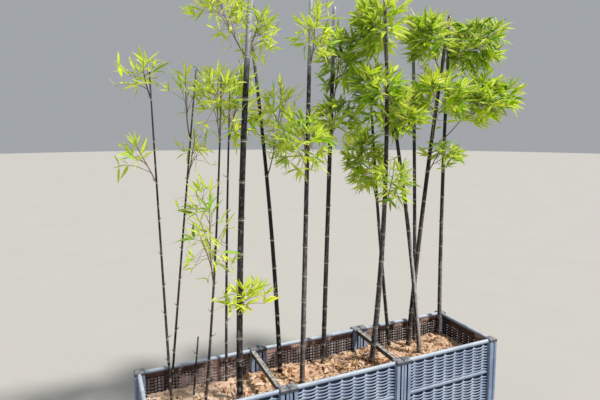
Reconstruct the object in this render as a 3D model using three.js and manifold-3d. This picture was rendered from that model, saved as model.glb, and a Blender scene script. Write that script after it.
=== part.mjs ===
// Potted bamboo: fifteen dark canes in a long woven planter made of three joined modules.
// Millimetres, +Z up. The origin is the middle of the planter's flat underside,
// X runs along the planter, to the right as seen from its front, and Y runs to its back.

import * as THREE from 'three';
import { mergeVertices } from 'three/addons/utils/BufferGeometryUtils.js';
import Module from 'manifold-3d';

const wasm = await Module();
wasm.setup();

// Sizes of the planter
const MODULE_PITCH = 536;
const MODULES = 3;
const LENGTH = MODULE_PITCH * MODULES;
const DEPTH = 398;
const TIER = 151;
const TIERS = 3;
const RIM = TIER * TIERS;
const RAIL_HEIGHT = 19;
const RAIL_THICK = 19;
const STRANDS = 5;
const STRAND_OUT = 8.5;
const STRAND_IN = 5;
const INNER_FACE = 6;
const JOINT_WIDE = 76;
const JOINT_DEEP = 38;
const CORNER_WIDE = 42;
const CAP_HEIGHT = 12;
const CAP_OVER = 3;
const CAP_SEAM = 3;
const TIE_WIDE = 26;
const TIE_HIGH = 20;
const TIE_CHAMFER = 3;
const TIE_LEFT_X = -296;
const TIE_RIGHT_X = 253;
const TRAY_THICK = 12;
const TRAY_LIFT = 0;

// Sizes of the soil
const SOIL_LEVEL = 348;
const SOIL_RELIEF = 9;
const MOUND_X = 205;
const MOUND_Y = -10;
const MOUND_HEIGHT = 24;
const MOUND_SPREAD = 120;
const SOIL_CELLS_LONG = 14;
const SOIL_CELLS_DEEP = 4;

// Corners closer than this are one corner, and a sliver thinner than that is closed up
const WELD = 1e-3;
const SLIVER = 0.03;

// The gap between pieces that touch
const GAP = 0.3;

// Sizes of the foliage
const STEM_RADIUS = 3.4;
const STEM_TIP_RADIUS = 2.2;
const STEM_RISE = 0.9;
const NODE_CLEAR = 6;
const STEM_PARTS = 4;
const STEM_SIDES = 4;
const TWIG_RADIUS = 1.9;
const TWIG_TIP_RADIUS = 1.3;
const LEAF_LENGTH = 86;
const LEAF_WIDTH = 22;
const LEAF_THICK = 3.2;
const LEAF_WIDEST = 0.42;
const LEAF_STEPS = [30, 15, 0];
const LEAF_APART = 11;
const TWIG_APART = 5;
const FANS = [
  { ring: 4, fan: 0 },
  { ring: 3, fan: 0.62 },
  { ring: 3, fan: -0.62 },
  { ring: 2, fan: 1.1 },
  { ring: 2, fan: -1.1 },
];
const GOLDEN_ANGLE = Math.PI * (3 - Math.sqrt(5));
const CLEAR = 2.5;
const SPACE_MARGIN = 0.035;

const UP = new THREE.Vector3(0, 0, 1);

// The canes: where each stands, how tall it is over the soil, how thick at foot and top,
// how far its top leans from its foot, and how far its middle bows out.
const CANES = [
  { name: 'culm_01', at: [-672, 71], tall: 1314, thick: [11.5, 6], lean: [-43, 19], bow: [-1, 0], sides: 6 },
  { name: 'culm_02', at: [-662, 145], tall: 1327, thick: [10.5, 6], lean: [122, -54], bow: [-1, 1], sides: 6 },
  { name: 'culm_03_stub', at: [-579, 92], tall: 256, thick: [9, 7], lean: [22, -10], bow: [0, 0], sides: 6 },
  { name: 'culm_04', at: [-544, 22], tall: 1304, thick: [11.5, 6], lean: [78, -35], bow: [9, -4], sides: 6 },
  { name: 'culm_05', at: [-426, 143], tall: 1269, thick: [12.5, 7], lean: [32, -14], bow: [-5, 2], sides: 6 },
  { name: 'culm_06', at: [-418, -34], tall: 1614, thick: [26, 21], lean: [57, -25], bow: [-13, 6], sides: 8 },
  { name: 'culm_07', at: [-186, 111], tall: 1454, thick: [21, 13], lean: [-102, 45], bow: [14, -6], sides: 6 },
  { name: 'culm_08', at: [-129, -6], tall: 1646, thick: [23, 15], lean: [32, -14], bow: [0, 0], sides: 6 },
  { name: 'culm_09', at: [33, 113], tall: 1634, thick: [22, 17], lean: [39, -17], bow: [0, 0], sides: 6 },
  { name: 'culm_10', at: [215, -22], tall: 1630, thick: [26, 14], lean: [29, -13], bow: [30, -13], sides: 6 },
  { name: 'culm_11', at: [421, 135], tall: 1335, thick: [18, 12], lean: [-108, 48], bow: [-7, 3], sides: 6 },
  { name: 'culm_12', at: [513, 9], tall: 1304, thick: [23, 14], lean: [-162, 72], bow: [13, -6], sides: 6 },
  { name: 'culm_13', at: [514, 102], tall: 1639, thick: [24, 16], lean: [147, -65], bow: [-11, 5], sides: 6 },
  { name: 'culm_14', at: [580, 135], tall: 1545, thick: [20, 15], lean: [-41, 18], bow: [3, -2], sides: 6 },
  { name: 'culm_15', at: [742, 135], tall: 1597, thick: [22, 15], lean: [8, 3], bow: [-6, 5], sides: 6 },
];

// The masses of leaves: the cane each grows on, the height of its middle over the cane's foot,
// how far the middle stands off the cane, its half width and half height, and its twigs.
const MASSES = [
  { name: 'leaves_01_top', on: 'culm_01', up: 1295, off: [-22, 17], wide: 140, tall: 120, twigs: 7 },
  { name: 'leaves_01_low', on: 'culm_01', up: 985, off: [-66, 5], wide: 118, tall: 120, twigs: 5 },
  { name: 'leaves_02_top', on: 'culm_02', up: 1240, off: [-24, 40], wide: 125, tall: 150, twigs: 6 },
  { name: 'leaves_02_low', on: 'culm_02', up: 1015, off: [14, -38], wide: 112, tall: 112, twigs: 5 },
  { name: 'leaves_04_top', on: 'culm_04', up: 1225, off: [-12, -12], wide: 122, tall: 170, twigs: 7 },
  { name: 'leaves_04_low', on: 'culm_04', up: 760, off: [-30, -20], wide: 155, tall: 250, twigs: 6 },
  { name: 'leaves_05_top', on: 'culm_05', up: 1190, off: [40, -17], wide: 125, tall: 210, twigs: 7 },
  { name: 'leaves_06_foot', on: 'culm_06', up: 440, off: [4, -39], wide: 142, tall: 98, twigs: 6 },
  { name: 'leaves_06_left', on: 'culm_06', up: 1520, off: [-110, 31], wide: 148, tall: 132, twigs: 7 },
  { name: 'leaves_06_right', on: 'culm_06', up: 1450, off: [48, 28], wide: 108, tall: 132, twigs: 5 },
  { name: 'leaves_07', on: 'culm_07', up: 1150, off: [90, -14], wide: 130, tall: 210, twigs: 6 },
  { name: 'leaves_08_low', on: 'culm_08', up: 1060, off: [-34, -38], wide: 155, tall: 165, twigs: 8 },
  { name: 'leaves_08_top', on: 'culm_08', up: 1490, off: [8, -24], wide: 135, tall: 140, twigs: 7 },
  { name: 'leaves_09_top', on: 'culm_09', up: 1415, off: [40, 8], wide: 140, tall: 185, twigs: 8 },
  { name: 'leaves_09_low', on: 'culm_09', up: 1140, off: [4, -39], wide: 145, tall: 130, twigs: 6 },
  { name: 'leaves_10_top', on: 'culm_10', up: 1520, off: [-24, -12], wide: 160, tall: 165, twigs: 8 },
  { name: 'leaves_10_middle', on: 'culm_10', up: 1240, off: [-64, -28], wide: 155, tall: 165, twigs: 8 },
  { name: 'leaves_10_low', on: 'culm_10', up: 845, off: [8, -49], wide: 125, tall: 125, twigs: 5 },
  { name: 'leaves_11', on: 'culm_11', up: 965, off: [-50, 4], wide: 128, tall: 190, twigs: 6 },
  { name: 'leaves_12', on: 'culm_12', up: 1150, off: [4, -76], wide: 142, tall: 150, twigs: 7 },
  { name: 'leaves_13_top', on: 'culm_13', up: 1540, off: [-110, 11], wide: 160, tall: 165, twigs: 8 },
  { name: 'leaves_13_middle', on: 'culm_13', up: 1262, off: [-66, -86], wide: 175, tall: 168, twigs: 8 },
  { name: 'leaves_13_low', on: 'culm_13', up: 985, off: [22, -58], wide: 130, tall: 85, twigs: 5 },
  { name: 'leaves_15_top', on: 'culm_15', up: 1528, off: [140, -48], wide: 182, tall: 190, twigs: 8 },
  { name: 'leaves_15_low', on: 'culm_15', up: 1245, off: [136, -130], wide: 215, tall: 155, twigs: 9 },
];

// Materials
const plastic = new THREE.MeshStandardMaterial({ color: 0x8f9cb6, roughness: 0.6, metalness: 0 });
const darkPlastic = new THREE.MeshStandardMaterial({ color: 0x565c68, roughness: 0.6, metalness: 0 });
const earth = new THREE.MeshStandardMaterial({ color: 0xb98a63, roughness: 0.95, metalness: 0 });
const caneSkin = new THREE.MeshStandardMaterial({ color: 0x2d2c33, roughness: 0.4, metalness: 0 });
const foliage = new THREE.MeshStandardMaterial({ color: 0x86ad33, roughness: 0.6, metalness: 0 });

const plant = new THREE.Group();
plant.name = 'potted_bamboo';

function addPart(name, geometry, material) {
  const mesh = new THREE.Mesh(geometry, material);
  mesh.name = name;
  plant.add(mesh);
}

// A closed geometry as a solid that can be joined to or cut by another
function toSolid(geometry) {
  const bare = geometry.clone();
  bare.deleteAttribute('normal');
  bare.deleteAttribute('uv');
  const merged = mergeVertices(bare, WELD);
  const vertProperties = new Float32Array(merged.attributes.position.array);
  const triVerts = new Uint32Array(merged.index.array);
  return new wasm.Manifold(new wasm.Mesh({ numProp: 3, vertProperties, triVerts }));
}

function toGeometry(solid) {
  const mesh = solid.getMesh();
  const geometry = new THREE.BufferGeometry();
  geometry.setAttribute('position', new THREE.BufferAttribute(new Float32Array(mesh.vertProperties), 3));
  geometry.setIndex(new THREE.BufferAttribute(new Uint32Array(mesh.triVerts), 1));
  geometry.computeVertexNormals();
  return geometry;
}

// The one largest closed skin of a solid: it leaves out loose scraps and fills sealed hollows
function outerShell(solid) {
  const mesh = solid.getMesh();
  const place = mesh.vertProperties;
  const corners = mesh.triVerts;
  const group = Array.from({ length: place.length / 3 }, (_, i) => i);
  const find = (i) => {
    let top = i;
    while (group[top] !== top) {
      group[top] = group[group[top]];
      top = group[top];
    }
    return top;
  };
  for (let i = 0; i < corners.length; i += 3) {
    group[find(corners[i + 1])] = find(corners[i]);
    group[find(corners[i + 2])] = find(corners[i]);
  }
  const skins = new Map();
  for (let i = 0; i < corners.length; i += 3) {
    const [a, b, c] = [0, 1, 2].map((k) => new THREE.Vector3().fromArray(place, 3 * corners[i + k]));
    const key = find(corners[i]);
    const skin = skins.get(key) ?? { volume: 0, index: [] };
    skin.volume += a.dot(b.cross(c)) / 6;
    skin.index.push(corners[i], corners[i + 1], corners[i + 2]);
    skins.set(key, skin);
  }
  const [largest] = [...skins.values()].sort((one, two) => two.volume - one.volume);
  const geometry = new THREE.BufferGeometry();
  geometry.setAttribute('position', new THREE.BufferAttribute(new Float32Array(place), 3));
  geometry.setIndex(largest.index);
  const bare = geometry.toNonIndexed();
  bare.computeVertexNormals();
  return bare;
}

function joined(solids) {
  let whole = solids[0];
  for (let i = 1; i < solids.length; i += 1) {
    whole = whole.add(solids[i]);
  }
  return whole;
}

function box(wide, deep, high, x, y, z) {
  const geometry = new THREE.BoxGeometry(wide, deep, high);
  geometry.translate(x, y, z);
  return geometry;
}

function shapeOf(points) {
  return new THREE.Shape(points.map(([x, y]) => new THREE.Vector2(x, y)));
}

// The woven wall panels: an outline across the wall, with a rounded rail over each tier
// and a bulge for each woven strand, drawn out along the wall.
function panelOutline() {
  const rail = RAIL_THICK / 2;
  const pitch = (TIER - RAIL_HEIGHT) / STRANDS;
  const outside = [[STRAND_IN, 0]];
  for (let tier = 0; tier < TIERS; tier += 1) {
    const foot = tier * TIER;
    for (let strand = 0; strand < STRANDS; strand += 1) {
      const low = foot + strand * pitch;
      outside.push([STRAND_OUT, low + pitch * 0.5]);
      outside.push([STRAND_IN, low + pitch]);
    }
    const railFoot = foot + TIER - RAIL_HEIGHT;
    outside.push([rail, railFoot + RAIL_HEIGHT * 0.3]);
    outside.push([rail, railFoot + RAIL_HEIGHT * 0.75]);
    outside.push([rail * 0.55, railFoot + RAIL_HEIGHT]);
  }
  const inside = [
    [-rail * 0.55, RIM],
    [-rail, RIM - RAIL_HEIGHT * 0.25],
    [-rail, RIM - RAIL_HEIGHT],
    [-INNER_FACE, RIM - RAIL_HEIGHT - 4],
    [-INNER_FACE, 0],
  ];
  return shapeOf([...outside, ...inside]);
}

// Drawn out along X with the outside of the wall toward -Y, then turned to its side
function addPanel(name, width, x, y, turn) {
  const geometry = new THREE.ExtrudeGeometry(panelOutline(), { depth: width, bevelEnabled: false });
  geometry.translate(0, 0, -width / 2);
  const alongX = new THREE.Matrix4().makeBasis(
    new THREE.Vector3(0, -1, 0),
    new THREE.Vector3(0, 0, 1),
    new THREE.Vector3(-1, 0, 0),
  );
  geometry.applyMatrix4(alongX);
  geometry.rotateZ(turn);
  geometry.translate(x, y, 0);
  addPart(name, geometry, plastic);
}

const wallLine = DEPTH / 2 - JOINT_DEEP / 2;
const jointX = MODULE_PITCH / 2;
const endX = LENGTH / 2;
const cornerX = endX - CORNER_WIDE / 2;
const cornerY = DEPTH / 2 - CORNER_WIDE / 2;

const middleWidth = MODULE_PITCH - JOINT_WIDE - 2 * GAP;
const outerWidth = MODULE_PITCH - JOINT_WIDE / 2 - CORNER_WIDE - 2 * GAP;
const outerX = jointX + JOINT_WIDE / 2 + GAP + outerWidth / 2;
const endWidth = DEPTH - 2 * CORNER_WIDE - 2 * GAP;
const endLine = endX - JOINT_DEEP / 2;

const sidesOfWall = [['front', -1, 0], ['back', 1, Math.PI]];
for (const [side, sign, turn] of sidesOfWall) {
  addPanel(`panel_${side}_left`, outerWidth, -outerX, sign * wallLine, turn);
  addPanel(`panel_${side}_middle`, middleWidth, 0, sign * wallLine, turn);
  addPanel(`panel_${side}_right`, outerWidth, outerX, sign * wallLine, turn);
}
addPanel('panel_end_left', endWidth, -endLine, 0, -Math.PI / 2);
addPanel('panel_end_right', endWidth, endLine, 0, Math.PI / 2);

// The joint posts: two grooved half posts side by side with a fluted strip between them,
// under a flat cap with a seam across its middle.
function addJointPost(name, x, sign) {
  const half = JOINT_WIDE / 2;
  const face = JOINT_DEEP / 2;
  const right = [
    [half - 2, -face + 4],
    [half - 5, -face],
    [half - 14, -face],
    [half - 16, -face + 4],
    [half - 19, -face + 4],
    [half - 21, -face],
    [half - 28, -face],
    [half - 30, -face + 6],
    [0, -face + 3],
  ];
  const left = right.slice(0, -1).reverse().map(([px, py]) => [-px, py]);
  const back = [[-half, face], [half, face]];
  const outline = [[half, -face + 6], ...right, ...left, [-half, -face + 6], ...back].reverse();
  const shaft = new THREE.ExtrudeGeometry(shapeOf(outline), { depth: RIM - CAP_HEIGHT, bevelEnabled: false });
  const capWide = JOINT_WIDE / 2 - GAP;
  const capDeep = JOINT_DEEP + 2 * CAP_OVER;
  const capZ = RIM - CAP_HEIGHT / 2 + 1;
  const capLeft = box(capWide - CAP_SEAM / 2, capDeep, CAP_HEIGHT + 4, -capWide / 2 - CAP_SEAM / 4, 0, capZ);
  const capRight = box(capWide - CAP_SEAM / 2, capDeep, CAP_HEIGHT + 4, capWide / 2 + CAP_SEAM / 4, 0, capZ);
  const bridge = box(CAP_SEAM * 3, capDeep - 4, CAP_HEIGHT, 0, 0, RIM - CAP_HEIGHT / 2 - 1);
  const whole = joined([toSolid(shaft), toSolid(capLeft), toSolid(capRight), toSolid(bridge)]);
  const geometry = toGeometry(whole);
  if (sign > 0) {
    geometry.rotateZ(Math.PI);
  }
  geometry.translate(x, sign * wallLine, 0);
  addPart(name, geometry, plastic);
}

addJointPost('joint_post_front_left', -jointX, -1);
addJointPost('joint_post_front_right', jointX, -1);
addJointPost('joint_post_back_left', -jointX, 1);
addJointPost('joint_post_back_right', jointX, 1);

// The corner posts: one grooved square post with a small flat cap
function addCornerPost(name, signX, signY) {
  const half = CORNER_WIDE / 2;
  const groove = 3;
  const outline = [
    [-half + 4, -half],
    [-6, -half],
    [-4, -half + groove],
    [4, -half + groove],
    [6, -half],
    [half - 4, -half],
    [half, -half + 4],
    [half, -6],
    [half - groove, -4],
    [half - groove, 4],
    [half, 6],
    [half, half - 4],
    [half - 4, half],
    [-half + 4, half],
    [-half, half - 4],
    [-half, -half + 4],
  ];
  const shaft = new THREE.ExtrudeGeometry(shapeOf(outline), { depth: RIM - CAP_HEIGHT, bevelEnabled: false });
  const capWide = CORNER_WIDE - 2 * GAP;
  const cap = box(capWide, capWide, CAP_HEIGHT + 4, 0, 0, RIM - CAP_HEIGHT / 2 + 1);
  const geometry = toGeometry(toSolid(shaft).add(toSolid(cap)));
  const turns = { '1,-1': 0, '1,1': 1, '-1,1': 2, '-1,-1': 3 };
  geometry.rotateZ(turns[`${signX},${signY}`] * Math.PI / 2);
  geometry.translate(signX * cornerX, signY * cornerY, 0);
  addPart(name, geometry, plastic);
}

addCornerPost('corner_post_front_left', -1, -1);
addCornerPost('corner_post_front_right', 1, -1);
addCornerPost('corner_post_back_left', -1, 1);
addCornerPost('corner_post_back_right', 1, 1);

// The tie bars: flat bars across the planter at the rim, from joint post to joint post
function addTieBar(name, x) {
  const half = TIE_WIDE / 2;
  const cut = TIE_CHAMFER;
  const outline = [
    [-half, 0],
    [half, 0],
    [half, TIE_HIGH - cut],
    [half - cut, TIE_HIGH],
    [-half + cut, TIE_HIGH],
    [-half, TIE_HIGH - cut],
  ];
  const span = 2 * (wallLine - JOINT_DEEP / 2 - CAP_OVER - GAP);
  const geometry = new THREE.ExtrudeGeometry(shapeOf(outline), { depth: span, bevelEnabled: false });
  geometry.rotateX(Math.PI / 2);
  geometry.translate(x, span / 2, RIM - TIE_HIGH);
  addPart(name, geometry, darkPlastic);
}

addTieBar('tie_bar_left', TIE_LEFT_X);
addTieBar('tie_bar_right', TIE_RIGHT_X);

// The base tray lies between the walls and carries the soil
const innerDeep = 2 * (wallLine - RAIL_THICK / 2 - GAP);
const innerLong = 2 * (endLine - RAIL_THICK / 2 - GAP);

// An outline that fits inside walls and posts: notched at the corners and at each joint post
function insideOutline(shrink) {
  const x = innerLong / 2 - shrink;
  const y = innerDeep / 2 - shrink;
  const notchX = endX - CORNER_WIDE - GAP - shrink;
  const notchY = DEPTH / 2 - CORNER_WIDE - GAP - shrink;
  const jointY = wallLine - JOINT_DEEP / 2 - GAP - shrink;
  const jointHalf = JOINT_WIDE / 2 + GAP + shrink;
  const quarter = [
    [x, notchY],
    [notchX, notchY],
    [notchX, y],
    [jointX + jointHalf, y],
    [jointX + jointHalf, jointY],
    [jointX - jointHalf, jointY],
    [jointX - jointHalf, y],
  ];
  const mirrored = (sx, sy) => quarter.map(([px, py]) => [sx * px, sy * py]);
  return shapeOf([
    ...mirrored(1, 1),
    ...mirrored(-1, 1).reverse(),
    ...mirrored(-1, -1),
    ...mirrored(1, -1).reverse(),
  ]);
}

const tray = new THREE.ExtrudeGeometry(insideOutline(0), { depth: TRAY_THICK, bevelEnabled: false });
tray.translate(0, 0, TRAY_LIFT);
addPart('base_tray', tray, plastic);

// The soil: its top rolls in low swells on a coarse grid, with one mound at the tenth cane
function swell(x, y) {
  const long = Math.sin(x * 0.0121 + 0.7) * Math.cos(y * 0.016 + 0.4);
  const short = Math.sin(x * 0.031 + y * 0.024 + 1.3);
  const mound = Math.exp(-((x - MOUND_X) ** 2 + (y - MOUND_Y) ** 2) / MOUND_SPREAD ** 2);
  return SOIL_LEVEL + SOIL_RELIEF * (0.65 * long + 0.35 * short) + MOUND_HEIGHT * mound;
}

const soilFoot = TRAY_LIFT + TRAY_THICK + GAP;
const soilBlock = new THREE.BoxGeometry(LENGTH, DEPTH, 1, SOIL_CELLS_LONG, SOIL_CELLS_DEEP, 1);
const soilCorner = soilBlock.attributes.position;
for (let i = 0; i < soilCorner.count; i += 1) {
  const top = soilCorner.getZ(i) > 0;
  soilCorner.setZ(i, top ? swell(soilCorner.getX(i), soilCorner.getY(i)) : soilFoot);
}
const soilFence = new THREE.ExtrudeGeometry(insideOutline(0), { depth: RIM, bevelEnabled: false });
const soil = toSolid(soilBlock).intersect(toSolid(soilFence));
addPart('soil', toGeometry(soil), earth);

// The height of the soil's top at a place, on the flat triangles of its grid
function soilTop(x, y) {
  const stepX = LENGTH / SOIL_CELLS_LONG;
  const stepY = DEPTH / SOIL_CELLS_DEEP;
  const column = Math.floor((x + LENGTH / 2) / stepX);
  const row = Math.floor((DEPTH / 2 - y) / stepY);
  const x0 = column * stepX - LENGTH / 2;
  const y0 = DEPTH / 2 - row * stepY;
  const u = (x - x0) / stepX;
  const v = (y0 - y) / stepY;
  const nearLeft = swell(x0, y0);
  const nearRight = swell(x0 + stepX, y0);
  const farLeft = swell(x0, y0 - stepY);
  const farRight = swell(x0 + stepX, y0 - stepY);
  const flat = u + v <= 1
    ? nearLeft + u * (nearRight - nearLeft) + v * (farLeft - nearLeft)
    : farRight + (1 - u) * (farLeft - farRight) + (1 - v) * (nearRight - farRight);
  return flat;
}

// The canes: tapered, leaning and slightly bowed, with a ring of corners at every node
function footHeight(cane) {
  const radius = cane.thick[0] / 2;
  let highest = soilTop(cane.at[0], cane.at[1]);
  for (let i = 0; i < 12; i += 1) {
    const angle = i * Math.PI / 6;
    const x = cane.at[0] + radius * Math.cos(angle);
    const y = cane.at[1] + radius * Math.sin(angle);
    highest = Math.max(highest, soilTop(x, y));
  }
  return highest + GAP;
}

for (const cane of CANES) {
  cane.foot = footHeight(cane);
}

function caneRadius(cane, height) {
  const t = height / cane.tall;
  return (cane.thick[0] + (cane.thick[1] - cane.thick[0]) * t) / 2;
}

// The nodes stand close together at the foot and further apart up the cane
function nodeHeights(cane) {
  const heights = [0];
  let length = 70;
  let height = 28;
  while (height < cane.tall - 40) {
    heights.push(height);
    height += length;
    length = Math.min(length + 11, 158);
  }
  heights.push(cane.tall);
  return heights;
}

for (const cane of CANES) {
  cane.rings = nodeHeights(cane).map((height) => {
    const t = height / cane.tall;
    const bulge = 4 * t * (1 - t);
    const middle = new THREE.Vector3(
      cane.at[0] + cane.lean[0] * t + cane.bow[0] * bulge,
      cane.at[1] + cane.lean[1] * t + cane.bow[1] * bulge,
      cane.foot + height,
    );
    return { height, middle };
  });
}

// The middle line of a cane runs straight from node to node
function canePoint(cane, height) {
  const { rings } = cane;
  const next = rings.findIndex((ring) => ring.height > height);
  const high = next < 1 ? rings.length - 1 : next;
  const below = rings[high - 1];
  const above = rings[high];
  const part = (height - below.height) / (above.height - below.height);
  return below.middle.clone().lerp(above.middle, part);
}

// A round bar of rings, bent from a straight cylinder: place(ring) gives its middle,
// its radius and the two directions across it.
function ringedBar(rings, sides, place) {
  const geometry = new THREE.CylinderGeometry(1, 1, 1, sides, rings - 1);
  const corner = geometry.attributes.position;
  for (let i = 0; i < corner.count; i += 1) {
    const ring = Math.round((corner.getY(i) + 0.5) * (rings - 1));
    const { middle, radius, across, over } = place(ring);
    const point = middle.clone();
    point.addScaledVector(across, corner.getX(i) * radius);
    point.addScaledVector(over, -corner.getZ(i) * radius);
    corner.setXYZ(i, point.x, point.y, point.z);
  }
  return geometry;
}

const ALONG_X = new THREE.Vector3(1, 0, 0);
const ALONG_Y = new THREE.Vector3(0, 1, 0);

for (const cane of CANES) {
  const geometry = ringedBar(cane.rings.length, cane.sides, (ring) => ({
    middle: cane.rings[ring].middle,
    radius: caneRadius(cane, cane.rings[ring].height),
    across: ALONG_X,
    over: ALONG_Y,
  }));
  addPart(cane.name, geometry, caneSkin);
}

// The outward direction of the flat side of a cane that looks most nearly one way
function sideFacing(cane, direction) {
  const step = 2 * Math.PI / cane.sides;
  const first = -Math.PI / 2 + step / 2;
  const turn = Math.round((Math.atan2(direction.y, direction.x) - first) / step);
  const angle = first + turn * step;
  return new THREE.Vector3(Math.cos(angle), Math.sin(angle), 0);
}

// A seeded run of numbers from 0 to 1, so the plant grows the same way each time
function seeded(seed) {
  let state = seed >>> 0;
  const next = () => {
    state = (Math.imul(state, 1664525) + 1013904223) >>> 0;
    return state / 4294967296;
  };
  next();
  next();
  return next;
}

// The middle and the stem of each mass. The stem leaves its cane just over a node, from a
// flat root that lies along the side of the cane, and bends up through the middle of the mass.
function growStem(mass) {
  const cane = CANES.find((one) => one.name === mass.on);
  const axis = canePoint(cane, mass.up);
  const outward = new THREE.Vector3(mass.off[0], mass.off[1], 0);
  const reach = outward.length();
  outward.normalize();
  mass.middle = axis.clone().addScaledVector(outward, reach);
  const wanted = mass.up - mass.tall * STEM_RISE;
  const heights = cane.rings.slice(1, -1).map((ring) => ring.height);
  const node = heights.reduce((best, one) => (
    Math.abs(one - wanted) < Math.abs(best - wanted) ? one : best
  ));
  const from = node + NODE_CLEAR;
  const facing = sideFacing(cane, outward);
  const along = canePoint(cane, from + 1).sub(canePoint(cane, from)).normalize();
  const flatDistance = caneRadius(cane, from) * Math.cos(Math.PI / cane.sides);
  const root = canePoint(cane, from).addScaledVector(facing, flatDistance + GAP);
  const bend = root.clone().addScaledVector(outward, Math.max(0.4 * reach, 24));
  bend.z += mass.tall * 0.5;
  const tip = mass.middle.clone();
  tip.addScaledVector(outward, Math.max(0, caneRadius(cane, from) + 14 - reach));
  tip.z += mass.tall * 0.42;
  mass.curve = new THREE.QuadraticBezierCurve3(root, bend, tip);
  mass.stem = mass.curve.getPoints(STEM_PARTS);
  mass.outward = outward;
  mass.root = { along, sideways: along.clone().cross(facing).normalize() };
}

for (const mass of MASSES) {
  growStem(mass);
}

// A tapered bar along points, its rings square to it, or its first ring as root says
function taperedBar(points, radius, tipRadius, sides, root) {
  const last = points.length - 1;
  return ringedBar(points.length, sides, (ring) => {
    const before = points[Math.max(ring - 1, 0)];
    const after = points[Math.min(ring + 1, last)];
    const along = after.clone().sub(before).normalize();
    const aim = root ? root.sideways : (Math.abs(along.z) > 0.95 ? ALONG_X : UP).clone().cross(along);
    const sideways = aim.clone().addScaledVector(along, -aim.dot(along)).normalize();
    const over = along.clone().cross(sideways);
    const flat = ring === 0 && root;
    return {
      middle: points[ring],
      radius: radius + (tipRadius - radius) * ring / last,
      across: flat ? root.along : over,
      over: flat ? root.sideways.clone().negate() : sideways.clone().negate(),
    };
  });
}

// Everything that a twig or a leaf has to stay clear of, as short straight pieces
const limbs = [];
for (const cane of CANES) {
  const pieces = 8;
  for (let i = 0; i < pieces; i += 1) {
    const low = cane.tall * i / pieces;
    const high = cane.tall * (i + 1) / pieces;
    limbs.push({
      owner: cane.name,
      a: canePoint(cane, low),
      b: canePoint(cane, high),
      radius: caneRadius(cane, low),
    });
  }
}
for (const mass of MASSES) {
  for (let i = 0; i < STEM_PARTS; i += 1) {
    limbs.push({ owner: mass.name, a: mass.stem[i], b: mass.stem[i + 1], radius: STEM_RADIUS });
  }
}

// The shortest distance between two straight pieces
function apart(a, b, c, d) {
  const along = b.clone().sub(a);
  const other = d.clone().sub(c);
  const between = a.clone().sub(c);
  const aa = along.dot(along);
  const bb = other.dot(other);
  const ab = along.dot(other);
  const ac = along.dot(between);
  const bc = other.dot(between);
  const span = aa * bb - ab * ab;
  let s = span > 1e-9 ? THREE.MathUtils.clamp((ab * bc - ac * bb) / span, 0, 1) : 0;
  let t = (ab * s + bc) / bb;
  if (t < 0 || t > 1) {
    t = THREE.MathUtils.clamp(t, 0, 1);
    s = THREE.MathUtils.clamp((ab * t - ac) / aa, 0, 1);
  }
  const near = a.clone().addScaledVector(along, s);
  const far = c.clone().addScaledVector(other, t);
  return near.distanceTo(far);
}

function depthIn(mass, point) {
  const x = (point.x - mass.middle.x) / mass.wide;
  const y = (point.y - mass.middle.y) / mass.wide;
  const z = (point.z - mass.middle.z) / mass.tall;
  return Math.hypot(x, y, z);
}

// True where a point lies in its own mass's space and nearer to it than to any other's
function inSpace(mass, point) {
  const own = depthIn(mass, point);
  if (own > 1) {
    return false;
  }
  return MASSES.every((other) => other === mass || depthIn(other, point) > own + SPACE_MARGIN);
}

function fits(mass, a, b, halfWidth) {
  const steps = 4;
  for (let i = 0; i <= steps; i += 1) {
    if (!inSpace(mass, a.clone().lerp(b, i / steps))) {
      return false;
    }
  }
  return limbs.every((limb) => (
    limb.owner === mass.name || apart(a, b, limb.a, limb.b) > limb.radius + halfWidth + CLEAR
  ));
}

// A twig as a three-sided bar of rings, with its corners and its outward faces
function twigBar(start, end) {
  const span = end.distanceTo(start);
  const out = end.clone().sub(start).normalize();
  const hint = Math.abs(out.z) > 0.95 ? ALONG_X : UP;
  const sideways = hint.clone().cross(out).normalize();
  const over = out.clone().cross(sideways);
  const steps = LEAF_STEPS.map((step) => Math.max(span - step, span * (1 - step / 60)));
  const corners = [];
  const faces = [];
  [0, ...steps].forEach((distance, ring) => {
    const radius = TWIG_RADIUS + (TWIG_TIP_RADIUS - TWIG_RADIUS) * distance / span;
    for (let j = 0; j < 3; j += 1) {
      const angle = j * 2 * Math.PI / 3;
      const corner = start.clone().addScaledVector(out, distance);
      corner.addScaledVector(sideways, radius * Math.cos(angle));
      corner.addScaledVector(over, radius * Math.sin(angle));
      corners.push(corner);
      if (ring > 0) {
        const [a, b] = [3 * ring - 3 + j, 3 * ring - 3 + (j + 1) % 3];
        faces.push({ corners: [a, b, b + 3], ring }, { corners: [a, b + 3, a + 3], ring });
      }
    }
  });
  const last = corners.length - 3;
  faces.push({ corners: [0, 2, 1], ring: 0 });
  faces.push({ corners: [last, last + 1, last + 2], ring: LEAF_STEPS.length + 1 });
  return { corners, faces };
}

function faceMiddle(bar, face) {
  const [a, b, c] = face.corners.map((i) => bar.corners[i]);
  const middle = a.clone().add(b).add(c).divideScalar(3);
  const normal = b.clone().sub(a).cross(c.clone().sub(a)).normalize();
  return { middle, normal };
}

// The corners of a leaf where it is widest, as a flat keel
function leafSection(wide, across, direction, turn) {
  const over = across.clone().cross(direction);
  const keel = wide.clone().addScaledVector(over, LEAF_THICK * 0.67);
  const edge = wide.clone().addScaledVector(over, -LEAF_THICK * 0.33);
  const section = [
    keel,
    edge.clone().addScaledVector(across, LEAF_WIDTH / 2),
    edge.clone().addScaledVector(across, -LEAF_WIDTH / 2),
  ];
  return [0, 1, 2].map((i) => section[(i + turn) % 3]);
}

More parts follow.
